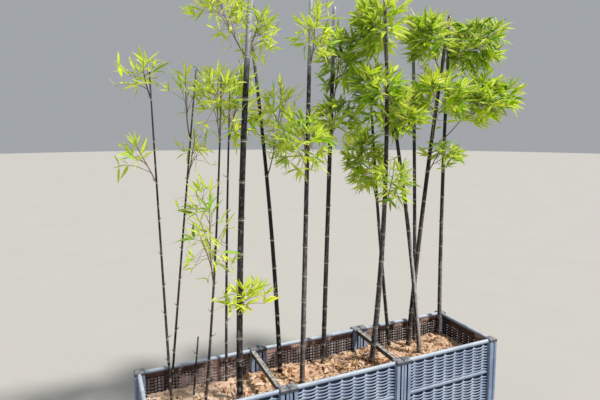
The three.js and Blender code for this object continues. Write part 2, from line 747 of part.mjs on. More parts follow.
// Draws one face of a bar out into a leaf of nine faces, widest before its middle, that runs
// to a point. The leaf lies the way the face does, so that its sides have no twist.
function drawOutLeaf(bar, face, direction, length) {
  const { middle } = faceMiddle(bar, face);
  const drawn = face.corners.map((i) => (
    bar.corners[i].clone().addScaledVector(direction, length * LEAF_WIDEST)
  ));
  const wide = middle.clone().addScaledVector(direction, length * LEAF_WIDEST);
  const edges = drawn.map((corner, i) => {
    const edge = drawn[(i + 1) % 3].clone().sub(corner);
    return edge.addScaledVector(direction, -edge.dot(direction));
  });
  edges.sort((one, two) => two.length() - one.length());
  const across = edges[0].normalize();
  const choices = [1, -1].flatMap((sign) => (
    [0, 1, 2].map((turn) => leafSection(wide, across.clone().multiplyScalar(sign), direction, turn))
  ));
  const slip = (section) => section.reduce((sum, corner, i) => sum + corner.distanceToSquared(drawn[i]), 0);
  const first = bar.corners.length;
  bar.corners.push(...choices.reduce((best, one) => (slip(one) < slip(best) ? one : best)));
  bar.corners.push(middle.clone().addScaledVector(direction, length));
  bar.faces.splice(bar.faces.indexOf(face), 1);
  for (let i = 0; i < 3; i += 1) {
    const next = (i + 1) % 3;
    const [a, b] = [face.corners[i], face.corners[next]];
    const leaf = [[a, b, first + next], [a, first + next, first + i], [first + i, first + next, first + 3]];
    leaf.forEach((corners) => bar.faces.push({ corners, ring: -1 }));
  }
}

function barGeometry(bar) {
  const geometry = new THREE.BufferGeometry().setFromPoints(bar.corners);
  geometry.setIndex(bar.faces.flatMap((face) => face.corners));
  return geometry;
}

// Twig number k of a mass: it starts on the stem and looks to its own place on the skin of
// the mass, round by the golden angle with a little chance in its turn and its lift, and
// ends a leaf's length short of that skin.
function twigOf(mass, index, k, attempt) {
  const chance = seeded(4100 + index * 211 + k * 17 + attempt * 5);
  const turn = k * GOLDEN_ANGLE + attempt * 1.3 + (chance() - 0.5) * 0.7;
  const lift = -0.6 + 1.5 * (k + 0.5) / mass.twigs + (chance() - 0.5) * 0.4;
  const share = 0.86 + 0.13 * chance();
  const first = Math.atan2(mass.outward.y, mass.outward.x);
  const skin = new THREE.Vector3(
    Math.cos(lift) * Math.cos(first + turn) * mass.wide,
    Math.cos(lift) * Math.sin(first + turn) * mass.wide,
    Math.sin(lift) * mass.tall,
  );
  const size = skin.length();
  const length = Math.min(LEAF_LENGTH * (0.85 + 0.25 * chance()), 0.8 * size);
  const start = mass.curve.getPoint(0.25 + 0.7 * k / mass.twigs);
  const end = mass.middle.clone().addScaledVector(skin, Math.max(share - length / size, 0.15));
  return { start, end, length, look: skin.normalize(), chance };
}

function growMass(mass, index) {
  const solids = [toSolid(taperedBar(mass.stem, STEM_RADIUS, STEM_TIP_RADIUS, STEM_SIDES, mass.root))];
  const grown = [];
  for (let k = 0; k < mass.twigs; k += 1) {
    const tries = [0, 1, 2].map((attempt) => twigOf(mass, index, k, attempt));
    const twig = tries.find(({ start, end }) => (
      fits(mass, start, end, TWIG_RADIUS) && grown.every((one) => apart(start, end, one.a, one.b) > TWIG_APART)
    ));
    if (twig) {
      solids.push(...growTwig(mass, twig, grown));
    }
  }
  const skin = toSolid(outerShell(joined(solids))).simplify(SLIVER);
  addPart(mass.name, outerShell(skin), foliage);
}

// A twig and its leaves to either side and at its tip, each turned until it has room, so
// that no leaf crosses another. A leaf that finds no room is left out.
function growTwig(mass, twig, grown) {
  const { start, end, length, look, chance } = twig;
  const bar = twigBar(start, end);
  const side = look.clone().cross(UP).normalize();
  const over = side.clone().cross(look);
  const own = [];
  for (const { ring, fan } of FANS) {
    for (let attempt = 0; attempt < 4; attempt += 1) {
      const turn = fan + (chance() - 0.5) * 0.5;
      const lift = (chance() - 0.55) * 0.8;
      const size = length * (0.9 + 0.14 * chance());
      const direction = new THREE.Vector3()
        .addScaledVector(look, Math.cos(turn) * Math.cos(lift))
        .addScaledVector(side, Math.sin(turn) * Math.cos(lift))
        .addScaledVector(over, Math.sin(lift));
      const facing = bar.faces
        .filter((face) => face.ring === ring)
        .map((face) => ({ face, ...faceMiddle(bar, face) }))
        .sort((one, two) => two.normal.dot(direction) - one.normal.dot(direction));
      const { face, middle, normal } = facing[0];
      const tip = middle.clone().addScaledVector(direction, size);
      const from = middle.clone().lerp(tip, 0.15);
      const roomy = [...grown, ...own].every((one) => apart(from, tip, one.a, one.b) > LEAF_APART);
      if (normal.dot(direction) > 0.3 && roomy && fits(mass, middle, tip, LEAF_WIDTH / 2)) {
        drawOutLeaf(bar, face, direction, size);
        own.push({ a: from, b: tip });
        break;
      }
    }
  }
  if (own.length === 0) {
    return [];
  }
  grown.push({ a: start.clone().lerp(end, 0.25), b: end }, ...own);
  return [toSolid(barGeometry(bar))];
}

MASSES.forEach(growMass);

export default plant;
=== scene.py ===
# %% [markdown]
# # Potted bamboo
# Fifteen dark canes grow in a long woven planter made of three joined modules. The imported model
# is loaded first, as a fixed frame in metres with Z up, because every piece made here has to
# stand exactly where its solid stands. The frame's box is kept, and the leaf tips are kept inside it.

# %% The frame
import math
from contextlib import contextmanager

import bmesh
import bpy
import numpy as np
from mathutils import Matrix, Vector, noise


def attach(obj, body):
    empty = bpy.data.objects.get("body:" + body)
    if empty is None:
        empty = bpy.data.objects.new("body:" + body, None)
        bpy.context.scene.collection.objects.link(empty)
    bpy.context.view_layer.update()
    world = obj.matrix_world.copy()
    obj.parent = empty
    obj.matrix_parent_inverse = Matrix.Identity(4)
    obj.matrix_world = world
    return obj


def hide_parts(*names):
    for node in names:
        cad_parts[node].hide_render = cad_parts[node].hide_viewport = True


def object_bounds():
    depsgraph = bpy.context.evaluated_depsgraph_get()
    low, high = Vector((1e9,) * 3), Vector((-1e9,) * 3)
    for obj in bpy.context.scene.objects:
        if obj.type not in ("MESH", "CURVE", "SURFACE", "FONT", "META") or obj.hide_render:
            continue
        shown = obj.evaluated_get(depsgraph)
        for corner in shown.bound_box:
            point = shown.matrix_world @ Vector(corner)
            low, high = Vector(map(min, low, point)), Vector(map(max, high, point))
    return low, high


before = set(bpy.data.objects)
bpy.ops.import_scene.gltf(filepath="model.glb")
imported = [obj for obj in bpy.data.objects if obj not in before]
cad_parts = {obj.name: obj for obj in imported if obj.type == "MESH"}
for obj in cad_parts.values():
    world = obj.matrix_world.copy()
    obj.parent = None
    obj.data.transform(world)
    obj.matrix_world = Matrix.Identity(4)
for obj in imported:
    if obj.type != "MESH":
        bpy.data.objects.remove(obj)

cad_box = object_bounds()
print("frame:", len(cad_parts), "nodes,", [round(v, 3) for v in (*cad_box[0], *cad_box[1])])

# %% [markdown]
# ## Camera
# The planter's rim, posts and tie bars were measured in the picture, and the camera that draws
# them in the same places stands a metre over the rim, beside the left end. Its axis runs a
# little over the middle of the picture, which a small vertical shift gives without a tilt.

# %% Camera
CAMERA_AT = (-0.9262, -1.7790, 1.4530)
CAMERA_TURN, CAMERA_DOWN = 23.948, 5.847
SENSOR_WIDTH, LENS, SHIFT_UP = 36, 28.18, -0.03975

camera_data = bpy.data.cameras.new("camera")
camera_data.sensor_width = SENSOR_WIDTH
camera_data.lens = LENS
camera_data.shift_y = SHIFT_UP
camera = bpy.data.objects.new("camera", camera_data)
camera.location = CAMERA_AT
camera.rotation_euler = (math.radians(90 - CAMERA_DOWN), 0, math.radians(-CAMERA_TURN))
bpy.context.scene.collection.objects.link(camera)
bpy.context.scene.camera = camera
print("camera:", round(math.degrees(camera_data.angle)), "degrees wide")

# %% [markdown]
# ## Nodes as expressions
# Materials and Geometry Nodes are both graphs of sockets. A Wire wraps one socket, so that
# arithmetic on it adds Math nodes, and a Graph makes any other node from its type, its settings
# and the values or wires of its inputs. That keeps each finish to a few readable lines.

# %% Wire and Graph
class Wire:
    def __init__(self, graph, socket):
        self.graph = graph
        self.socket = socket

    def of(self, name):
        """Another output of the same node."""
        return Wire(self.graph, self.socket.node.outputs[name])

    def math(self, operation, *values):
        return self.graph.node("ShaderNodeMath", {"operation": operation}, dict(enumerate((self, *values))))

    def __add__(self, other):
        return self.math("ADD", other)

    def __sub__(self, other):
        return self.math("SUBTRACT", other)

    def __mul__(self, other):
        return self.math("MULTIPLY", other)

    def __rsub__(self, other):
        return self.math("MULTIPLY", -1.0).math("ADD", other)

    __radd__ = __add__
    __rmul__ = __mul__

    def between(self, low, high):
        """0 below low, 1 above high, and smooth between them."""
        settings = {"interpolation_type": "SMOOTHSTEP"}
        return self.graph.node("ShaderNodeMapRange", settings,
                               {"Value": self, "From Min": low, "From Max": high})


class Graph:
    def __init__(self, tree):
        self.tree = tree

    def node(self, kind, settings=None, values=None, out=0):
        made = self.tree.nodes.new(kind)
        for name, value in (settings or {}).items():
            setattr(made, name, value)
        for name, value in (values or {}).items():
            self.feed(made.inputs[name], value)
        return Wire(self, made.outputs[out])

    def feed(self, socket, value):
        """Links a wire to a socket, or sets a plain value on it."""
        if isinstance(value, Wire):
            self.tree.links.new(value.socket, socket)
        else:
            socket.default_value = value


print("graphs ready")

# %% Colours and finishes
def srgb(red, green, blue):
    """A colour picked on screen, 0 to 255, as the linear colour that a shader takes."""
    def linear(part):
        return part / 12.92 if part <= 0.04045 else ((part + 0.055) / 1.055) ** 2.4
    return (*(linear(part / 255) for part in (red, green, blue)), 1.0)


class Finish(Graph):
    def __init__(self, name):
        self.material = bpy.data.materials.new(name)
        self.material.use_nodes = True
        super().__init__(self.material.node_tree)
        self.shader = self.tree.nodes["Principled BSDF"]

    def place(self, scale=(1, 1, 1)):
        """Object coordinates in metres, stretched by scale."""
        here = self.node("ShaderNodeTexCoord", out="Object")
        return self.node("ShaderNodeMapping", None, {"Vector": here, "Scale": scale})

    def along(self, axis):
        """How far a point lies along X, Y or Z, in metres."""
        return self.node("ShaderNodeSeparateXYZ", None, {0: self.place()}, axis)

    def clouds(self, scale, detail=3, stretch=(1, 1, 1)):
        return self.node("ShaderNodeTexNoise", None,
                         {"Vector": self.place(stretch), "Scale": scale, "Detail": detail}, "Fac")

    def attribute(self, name, out="Fac"):
        return self.node("ShaderNodeAttribute", {"attribute_name": name}, None, out)

    def mix(self, share, first, second):
        """A colour part of the way from the first to the second."""
        return self.node("ShaderNodeMix", {"data_type": "RGBA"}, {0: share, 6: first, 7: second}, 2)

    def facing(self, direction):
        """How far the surface looks in a direction, from -1 to 1."""
        normal = self.node("ShaderNodeNewGeometry", out="Normal")
        return self.node("ShaderNodeVectorMath", {"operation": "DOT_PRODUCT"},
                         {0: normal, 1: direction}, "Value")

    def bump(self, height, distance, strength=1.0):
        return self.node("ShaderNodeBump", None,
                         {"Height": height, "Distance": distance, "Strength": strength})

    def surface(self, **values):
        """Sets or links the shader's own sockets and returns the material."""
        for name, value in values.items():
            self.feed(self.shader.inputs[name.replace("_", " ")], value)
        return self.material


print("half grey on screen, 128 of 255, is", round(srgb(128, 128, 128)[0], 3), "of full light")

# %% [markdown]
# ## Moulded rattan
# The planter is injection-moulded plastic that imitates woven rattan: a chalky blue-grey with
# fine lengthwise grooves on every band, paler where dust and sun have bleached what looks up.
# It could be one finish for all, but the rails and the ribs on them catch other light than the
# bands, the inside over the soil is painted dark brown as shade with pale patches painted as
# sun, and the grooves are painted dark navy as shade, so one function makes five finishes of the
# same kind. Caps and tie bars are a plainer, dusty plastic.

# %% Finishes of the planter
PLASTIC_GLOSS = 1.46
GROOVE_PITCH = 0.0021
SKYWARD = (0, 0, 1)


def moulded_rattan(name, body, bleached, stain, stain_share, patches=(0.3, 0.75, 0.55)):
    """patches gives the noise levels between which the body turns bleached, and by how much."""
    finish = Finish(name)
    grooves = (finish.along("Z") * (2 * math.pi / GROOVE_PITCH)).math("SINE")
    cloud = finish.clouds(7, 4)
    grime = finish.clouds(38, 5).between(0.48, 0.72)
    top = finish.facing(SKYWARD).between(0.2, 0.95)
    low, high, most = patches
    colour = finish.mix(cloud.between(low, high) * most + top * 0.6, body, bleached)
    colour = finish.mix(grime * stain_share, colour, stain)
    relief = grooves * 0.35 + finish.clouds(900, 2) * 0.6
    return finish.surface(Base_Color=colour, Roughness=cloud * 0.2 + 0.42,
                          Normal=finish.bump(relief, 0.0004, 0.5), IOR=PLASTIC_GLOSS)


rattan_outside = moulded_rattan(
    "rattan_outside", srgb(118, 136, 166), srgb(180, 195, 213), srgb(104, 108, 122), 0.25)
rattan_rail = moulded_rattan(
    "rattan_rail", srgb(138, 152, 176), srgb(186, 196, 208), srgb(108, 112, 122), 0.4)
rattan_rib = moulded_rattan(
    "rattan_rib", srgb(120, 133, 158), srgb(154, 166, 186), srgb(98, 102, 114), 0.35)
# The inside's dark brown body is painted shade, warmed as by light off the soil, and its pale patches are
# painted sunlight.
rattan_inside = moulded_rattan(
    "rattan_inside", srgb(62, 42, 38), srgb(196, 168, 160), srgb(42, 28, 24), 0.6, (0.49, 0.57, 0.8))
# Dark navy for the grooves and for what lies deep behind the bands: painted shade.
groove_dirt = moulded_rattan(
    "groove_dirt", srgb(46, 54, 86), srgb(70, 78, 104), srgb(40, 40, 48), 0.5)


def weathered_plate(name, body, worn, dusty):
    finish = Finish(name)
    cloud = finish.clouds(24, 5)
    dust = finish.clouds(60, 4).between(0.38, 0.62) * 0.6 + 0.35
    top = finish.facing(SKYWARD).between(0.4, 0.98)
    colour = finish.mix(cloud.between(0.35, 0.7), body, worn)
    colour = finish.mix(top * dust, colour, dusty)
    return finish.surface(Base_Color=colour, Roughness=cloud * 0.25 + 0.5,
                          Normal=finish.bump(finish.clouds(260, 3), 0.0006, 0.5), IOR=PLASTIC_GLOSS)


post_cap_plastic = weathered_plate(
    "post_cap_plastic", srgb(58, 62, 74), srgb(84, 88, 98), srgb(152, 153, 158))
tie_bar_plastic = weathered_plate(
    "tie_bar_plastic", srgb(62, 58, 56), srgb(88, 84, 82), srgb(186, 182, 176))
liner = Finish("liner")
planter_liner = liner.surface(
    Base_Color=liner.mix(liner.clouds(20, 4), srgb(34, 33, 40), srgb(62, 52, 48)), Roughness=0.7)
print("planter finishes:", len(bpy.data.materials), "materials so far")

# %% [markdown]
# ## Pieces from a rule
# A woven wall repeats one band hundreds of times, and a crown repeats one leaf thousands of
# times. Both are made by Geometry Nodes: a tree with named inputs is built here in code, run once
# on a mesh, and its result is taken as a plain mesh, because a live tree of instances wouldn't
# survive an export. A few small helpers for plain meshes come first.

# %% Meshes and pieces
MM = 0.001


def as_piece(name, mesh):
    """An object at the origin that shows a mesh."""
    piece = bpy.data.objects.new(name, mesh)
    bpy.context.scene.collection.objects.link(piece)
    return piece


def plain_mesh(name, points, faces=(), edges=(), **attributes):
    """A mesh from points in metres, with one named number or vector for each point."""
    mesh = bpy.data.meshes.new(name)
    mesh.from_pydata([tuple(p) for p in points], list(edges), [tuple(f) for f in faces])
    for label, values in attributes.items():
        values = np.asarray(values)
        kind = "FLOAT_VECTOR" if values.ndim == 2 else "INT" if values.dtype.kind == "i" else "FLOAT"
        held = mesh.attributes.new(label, kind, "POINT")
        field = "vector" if values.ndim == 2 else "value"
        held.data.foreach_set(field, values.astype(np.int32 if kind == "INT" else np.float32).ravel())
    return mesh


@contextmanager
def opened(mesh):
    """Opens a mesh for editing and writes what was made back into it."""
    build = bmesh.new()
    build.from_mesh(mesh)
    yield build
    build.to_mesh(mesh)
    build.free()


def triangles(piece):
    piece.data.calc_loop_triangles()
    return len(piece.data.loop_triangles)


def keep(piece, nodes):
    """Lets a finished piece ride with the plant and stand for its CAD nodes."""
    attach(piece, "root")
    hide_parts(*nodes)


print("one millimetre is", MM, "of the frame's metres")

# %% Growth trees
class Growth(Graph):
    def __init__(self, name, **inputs):
        tree = bpy.data.node_groups.new(name, "GeometryNodeTree")
        super().__init__(tree)
        tree.interface.new_socket("Mesh", in_out="INPUT", socket_type="NodeSocketGeometry")
        for label, kind in inputs.items():
            tree.interface.new_socket(label, in_out="INPUT", socket_type="NodeSocket" + kind)
        tree.interface.new_socket("Mesh", in_out="OUTPUT", socket_type="NodeSocketGeometry")
        self.start = tree.nodes.new("NodeGroupInput")

    def given(self, label):
        """One of the tree's own inputs."""
        return Wire(self, self.start.outputs[label])

    def named(self, name, kind="FLOAT"):
        """A number or vector that the mesh holds for each point."""
        return self.node("GeometryNodeInputNamedAttribute", {"data_type": kind}, {"Name": name})

    def joined(self, *parts):
        join = self.tree.nodes.new("GeometryNodeJoinGeometry")
        for part in parts:
            self.tree.links.new(part.socket, join.inputs[0])
        return Wire(self, join.outputs[0])

    def copies(self, points, shape, **more):
        more = {label.replace("_", " "): value for label, value in more.items()}
        return self.node("GeometryNodeInstanceOnPoints", None, {"Points": points, "Instance": shape, **more})

    def end(self, geometry, material, smooth=True):
        """Turns the copies into real faces with a finish, and ends the tree with them."""
        real = self.node("GeometryNodeRealizeInstances", None, {"Geometry": geometry})
        shaded = self.node("GeometryNodeSetShadeSmooth", None, {0: real, "Shade Smooth": smooth})
        last = self.node("GeometryNodeSetMaterial", None, {"Geometry": shaded, "Material": material})
        self.tree.links.new(last.socket, self.tree.nodes.new("NodeGroupOutput").inputs[0])

    def run(self, name, start, **values):
        """Runs the tree on a mesh with these inputs and returns the result as a plain object."""
        piece = as_piece(name, start)
        modifier = piece.modifiers.new("growth", "NODES")
        modifier.node_group = self.tree
        for item in self.tree.interface.items_tree:
            if item.in_out == "INPUT" and item.name in values:
                modifier[item.identifier] = values[item.name]
        piece.update_tag()
        grown = piece.evaluated_get(bpy.context.evaluated_depsgraph_get())
        result = bpy.data.meshes.new_from_object(grown)
        piece.modifiers.clear()
        # The result's first slot can be empty, so only the slots that hold a finish are kept.
        made_of = [material for material in result.materials if material]
        result.materials.clear()
        for material in made_of:
            result.materials.append(material)
        result.polygons.foreach_set("material_index", np.zeros(len(result.polygons), dtype=np.int32))
        piece.data = result
        result.name = name
        return piece


print("growth trees ready")

# %% [markdown]
# ## The woven wall
# Each tier has nine flat bands under a round rail. Every band bulges out and dips in at the
# stakes, eight times on a wall and all in the same phase, and it is slim on the crest of a bulge
# and wide at a stake, so a slit like a smile opens on every crest. A second layer closes the wall
# behind the slits: thin bands in a zigzag, four small stakes to a column, and a strip under the
# rail. One tree draws a band along a waved line, copies it up the tier, adds the rest, and copies
# the tier three times. Sizes are in millimetres, from the middle of the wall.

# %% The wall's measures
MODULE_PITCH, LENGTH, DEPTH = 536, 1608, 398
TIER, TIERS, RIM = 151, 3, 453
BANDS, BAND_PITCH, FIRST_BAND = 9, 13.88, 7.2
BAND_HIGH, BAND_THICK, STAKE_SWELL, CREST_SWELL = 10.2, 4.4, 1.4, 0.54
BULGE, DIP, ROUND_CREST = 6.7, 0.4, 0.75
COLUMNS, STEPS_PER_COLUMN, KINKS_PER_COLUMN = 8, 6, 4
INNER_AT, INNER_THICK, ZIGZAG, ZIGZAG_UP = 3.6, 3.0, 1.2, 1.5
INNER_HIGH = {"front": 12.4, "end": 12.4, "back": 9.7}
COVER_AT, COVER_LEVEL, COVER_HIGH, COVER_THICK = 4.4, 125, 27, 2.6
RAIL_RADIUS, RAIL_CORNERS = 8.8, 14
STAKE_WIDE, STAKE_DEEP, STAKE_AT = 10.0, 5.0, 1.0
INNER_STAKE_WIDE, INNER_STAKE_DEEP, INNER_STAKE_AT = 5.0, 2.6, 5.4
OCTAGON, FLAT_ON_TOP = 8, math.pi / 8
print("woven wall:", BANDS * TIERS, "bands,", COLUMNS, "columns")

# %% Lines and bars of the wall's tree
wall_tree = Growth("woven_wall", Width="Float", Bulge="Float", Dip="Float", Inner="Float",
                   Material="Material")


def line(start, end):
    return wall_tree.node("GeometryNodeCurvePrimitiveLine", None, {"Start": start, "End": end})


def at(x=0.0, y=0.0, z=0.0):
    return wall_tree.node("ShaderNodeCombineXYZ", None, {0: x, 1: y, 2: z})


def resampled(path, count):
    return wall_tree.node("GeometryNodeResampleCurve", None, {0: path, "Count": count})


def offset(path, by):
    return wall_tree.node("GeometryNodeSetPosition", None, {0: path, "Offset": by})


def moved(path, by):
    return wall_tree.node("GeometryNodeTransform", None, {0: path, "Translation": by})


def row_of(count, start, step):
    return wall_tree.node("GeometryNodeMeshLine", None,
                          {"Count": count, "Start Location": start, "Offset": step})


def drawn_along(path, corners, wide, high, turn=0.0, swelling=1.0):
    """A path as a bar whose section is a circle squashed to wide by high, swollen by a share."""
    circle = wall_tree.node("GeometryNodeCurvePrimitiveCircle", None,
                            {"Resolution": corners, "Radius": 0.5})
    spun = wall_tree.node("GeometryNodeTransform", None, {0: circle, "Rotation": (0, 0, turn)})
    oval = wall_tree.node("GeometryNodeTransform", None, {0: spun, "Scale": at(wide, high, 1.0)})
    upright = wall_tree.node("GeometryNodeSetCurveNormal", {"mode": "Z_UP"}, {0: path})
    return wall_tree.node("GeometryNodeCurveToMesh", None,
                          {0: upright, 1: oval, "Scale": swelling, "Fill Caps": True})


taken = [item.name for item in wall_tree.tree.interface.items_tree if item.in_out == "INPUT"]
print("the wall's tree takes", taken)

# %% The tree of the woven wall
def stakes(per_column, first, in_by, wide, deep):
    """Upright stakes under the rail, the first one a share of a column from the wall's end."""
    foot_line = line((0, in_by * MM, 0), (0, in_by * MM, (TIER - RAIL_RADIUS) * MM))
    stake = drawn_along(foot_line, OCTAGON, wide * MM, deep * MM)
    places = row_of(COLUMNS * per_column, at(width * -0.5 + column * first), at(column * (1 / per_column)))
    return wall_tree.copies(places, stake)


width, dip = wall_tree.given("Width"), wall_tree.given("Dip")
column = width * (1 / COLUMNS)
span = line(at(width * -0.5), at(width * 0.5))
share = wall_tree.node("GeometryNodeSplineParameter", out="Factor")
wave = (share * (math.pi * COLUMNS)).math("COSINE").math("ABSOLUTE").math("POWER", ROUND_CREST)
swollen = wave.math("POWER", 0.5) * (CREST_SWELL - STAKE_SWELL) + STAKE_SWELL
even = resampled(span, COLUMNS * STEPS_PER_COLUMN + 1)
kept_swell = wall_tree.node("GeometryNodeStoreNamedAttribute", {"data_type": "FLOAT", "domain": "POINT"},
                            {0: even, "Name": "swelling", "Value": swollen})
waved = offset(kept_swell, at(0.0, (dip + wave * (wall_tree.given("Bulge") - dip)) * -1.0))
band = drawn_along(waved, OCTAGON, BAND_THICK * MM, BAND_HIGH * MM, FLAT_ON_TOP, wall_tree.named("swelling"))
rows = row_of(BANDS, (0, 0, FIRST_BAND * MM), (0, 0, BAND_PITCH * MM))

kinks = resampled(span, KINKS_PER_COLUMN * COLUMNS + 1)
zigzag = (share * (math.pi * KINKS_PER_COLUMN * COLUMNS)).math("COSINE") * (ZIGZAG * MM) + ZIGZAG_UP * MM
inner_line = offset(kinks, at(0.0, INNER_AT * MM, zigzag))
inner_band = drawn_along(inner_line, 6, INNER_THICK * MM, wall_tree.given("Inner"))
cover_line = moved(span, (0, COVER_AT * MM, COVER_LEVEL * MM))
cover = drawn_along(cover_line, OCTAGON, COVER_THICK * MM, COVER_HIGH * MM, FLAT_ON_TOP)
rail_line = moved(span, (0, 0, (TIER - RAIL_RADIUS) * MM))
rail = drawn_along(rail_line, RAIL_CORNERS, 2 * RAIL_RADIUS * MM, 2 * RAIL_RADIUS * MM)

tier = wall_tree.joined(
    wall_tree.copies(rows, band), wall_tree.copies(rows, inner_band), rail, cover,
    stakes(1, 0.5, STAKE_AT, STAKE_WIDE, STAKE_DEEP),
    stakes(4, 0.125, INNER_STAKE_AT, INNER_STAKE_WIDE, INNER_STAKE_DEEP))
levels = row_of(TIERS, (0, 0, 0), (0, 0, TIER * MM))
wall_tree.end(wall_tree.copies(levels, tier), wall_tree.given("Material"))
print("the wall's tree:", len(wall_tree.tree.nodes), "nodes")

# %% [markdown]
# The eight walls are the same tree at three widths, turned to their sides. Their finishes are
# dealt out by place and direction: what looks inwards near the soil is painted dark brown as
# shade, with pale patches painted as sun, the rim's rail is pale, the rails under it are a little
# darker, and what lies deep behind the bands, such as the second layer's outer faces, is painted
# dark navy as shade.

# %% The eight walls
JOINT_WIDE, JOINT_DEEP, CORNER_WIDE, GAP = 76, 38, 42, 0.3
JOINT_X = MODULE_PITCH / 2
WALL_LINE = DEPTH / 2 - JOINT_DEEP / 2
END_LINE = LENGTH / 2 - JOINT_DEEP / 2
MIDDLE_WIDE = MODULE_PITCH - JOINT_WIDE - 2 * GAP
OUTER_WIDE = MODULE_PITCH - JOINT_WIDE / 2 - CORNER_WIDE - 2 * GAP
OUTER_X = JOINT_X + JOINT_WIDE / 2 + GAP + OUTER_WIDE / 2
END_WIDE = DEPTH - 2 * CORNER_WIDE - 2 * GAP
LOOKS_IN, INSIDE_SHADE_FROM, SHADED_FROM = 0.25, -7, 1.5
OUTSIDE, INSIDE_SHADE, TOP_RAIL, PAINTED_SHADE, LOWER_RAIL = range(5)
wall_finishes = (rattan_outside, rattan_inside, rattan_rail, groove_dirt, rattan_rib)


def dealt_finishes(mesh):
    """Which finish each face of a wall takes, before the wall is turned to its side."""
    inward, deep, height = np.array([(p.normal.y, p.center.y, p.center.z) for p in mesh.polygons]).T
    # Faces that look inwards near the soil take the dark brown inside finish: painted shade with patches of
    # painted sunlight.
    shaded_inside = (inward > LOOKS_IN) & (deep > INSIDE_SHADE_FROM * MM)
    over_axis = height - (np.ceil(height / (TIER * MM)) * TIER - RAIL_RADIUS) * MM
    # The middles of a rail's faces lie a little inside its radius, because it has 14 sides.
    on_rail = np.abs(np.hypot(deep, over_axis) - 0.97 * RAIL_RADIUS * MM) < 0.06 * RAIL_RADIUS * MM
    top_rail = on_rail & (height > (RIM - 2 * RAIL_RADIUS) * MM)
    # Faces deep behind the bands, such as the second layer's outer faces, are painted dark navy as shade.
    shaded = ~shaded_inside & (deep > SHADED_FROM * MM)
    return np.select([shaded_inside & ~top_rail, top_rail, on_rail, shaded],
                     [INSIDE_SHADE, TOP_RAIL, LOWER_RAIL, PAINTED_SHADE], OUTSIDE)


walls = [(f"{side}_{part}", wide, x, sign * WALL_LINE, turn)
         for side, sign, turn in (("front", -1, 0), ("back", 1, math.pi))
         for part, wide, x in (("left", OUTER_WIDE, -OUTER_X), ("middle", MIDDLE_WIDE, 0),
                               ("right", OUTER_WIDE, OUTER_X))]
walls += [("end_left", END_WIDE, -END_LINE, 0, -math.pi / 2),
          ("end_right", END_WIDE, END_LINE, 0, math.pi / 2)]
for name, wide, x, y, turn in walls:
    wall = wall_tree.run(f"woven_{name}", bpy.data.meshes.new("start"), Width=wide * MM,
                         Bulge=BULGE * MM, Dip=DIP * MM, Inner=INNER_HIGH[name.split("_")[0]] * MM,
                         Material=rattan_outside)
    for material in wall_finishes[1:]:
        wall.data.materials.append(material)
    wall.data.polygons.foreach_set("material_index", dealt_finishes(wall.data).astype(np.int32))
    wall.data.transform(Matrix.Translation((x * MM, y * MM, 0)) @ Matrix.Rotation(turn, 4, "Z"))
    keep(wall, [f"panel_{name}"])
    print(wall.name, triangles(wall), "triangles")

# %% [markdown]
# ## Posts and caps
# Two modules meet in a joint post of two grooved half posts with a seam between them, under a cap
# of two chamfered plates. The corners have one grooved post each. They could be cut from boxes,
# but an outline drawn upwards gives the grooves at once, and its small bevels catch the light as
# a moulded edge does.

# %% A post from its outline
POST_BEVEL, SHARP = 0.6, 0.5


def rectangle(x, y, wide, deep):
    return [(x - wide / 2, y - deep / 2), (x + wide / 2, y - deep / 2),
            (x + wide / 2, y + deep / 2), (x - wide / 2, y + deep / 2)]


def side_faces(count, rings):
    """The faces between rings of points that follow each other."""
    faces = []
    for ring in range(rings - 1):
        for i in range(count):
            a, b = ring * count + i, ring * count + (i + 1) % count
            faces.append((a, b, b + count, a + count))
    return faces


def drawn_up(outline, levels_of, name, material, bevel=0.0):
    """A closed outline in mm drawn up through levels (height, how far it shrinks)."""
    count = len(outline)
    centre = np.mean(outline, axis=0)
    points = []
    for height, shrink in levels_of:
        for p in outline:
            away = np.asarray(p) - centre
            inset = np.asarray(p) - np.sign(away) * np.minimum(np.abs(away), shrink)
            points.append((inset[0] * MM, inset[1] * MM, height * MM))
    ends = [tuple(reversed(range(count))), tuple(range(len(points) - count, len(points)))]
    mesh = plain_mesh(name, points, side_faces(count, len(levels_of)) + ends)
    with opened(mesh) as build:
        bmesh.ops.recalc_face_normals(build, faces=build.faces)
        if bevel:
            sharp = [e for e in build.edges if e.is_manifold and e.calc_face_angle() > SHARP]
            bmesh.ops.bevel(build, geom=sharp, offset=bevel * MM, segments=1, affect="EDGES")
    mesh.materials.append(material)
    return mesh


print("a box has", len(side_faces(4, 2)), "side faces")

# %% Caps, seams and whole posts
CAP_FOOT, CAP_HEAD = 440, 457
TIER_SEAM, SEAM_HIGH = 0.7, 1.6


def one_piece(name, meshes, materials):
    """Several meshes as one object at the origin, each with its own finish."""
    whole = bpy.data.meshes.new(name)
    with opened(whole) as build:
        for mesh in meshes:
            before = len(build.faces)
            build.from_mesh(mesh)
            build.faces.ensure_lookup_table()
            for face in build.faces[before:]:
                face.material_index = materials.index(mesh.materials[0])
    for material in materials:
        whole.materials.append(material)
    return as_piece(name, whole)


def tier_levels(foot, head):
    """Levels of a post that has a fine seam where two tiers meet."""
    levels_of = [(foot, 0)]
    for seam in range(TIER, int(head), TIER):
        levels_of += [(seam - SEAM_HIGH, 0), (seam - SEAM_HIGH / 2, TIER_SEAM),
                      (seam + SEAM_HIGH / 2, TIER_SEAM), (seam + SEAM_HIGH, 0)]
    return [*levels_of, (head, 0)]


def cap_plate(x, y, wide, deep):
    """A plate with a chamfered rim, as on the caps."""
    levels_of = [(CAP_FOOT, 0.8), (CAP_FOOT + 1, 0), (CAP_HEAD - 4, 0), (CAP_HEAD - 1, 3.4), (CAP_HEAD, 5.2)]
    return drawn_up(rectangle(x, y, wide, deep), levels_of, "cap", post_cap_plastic)


post_levels = tier_levels(0, CAP_FOOT + 2)
print("a post has", len(post_levels), "levels")

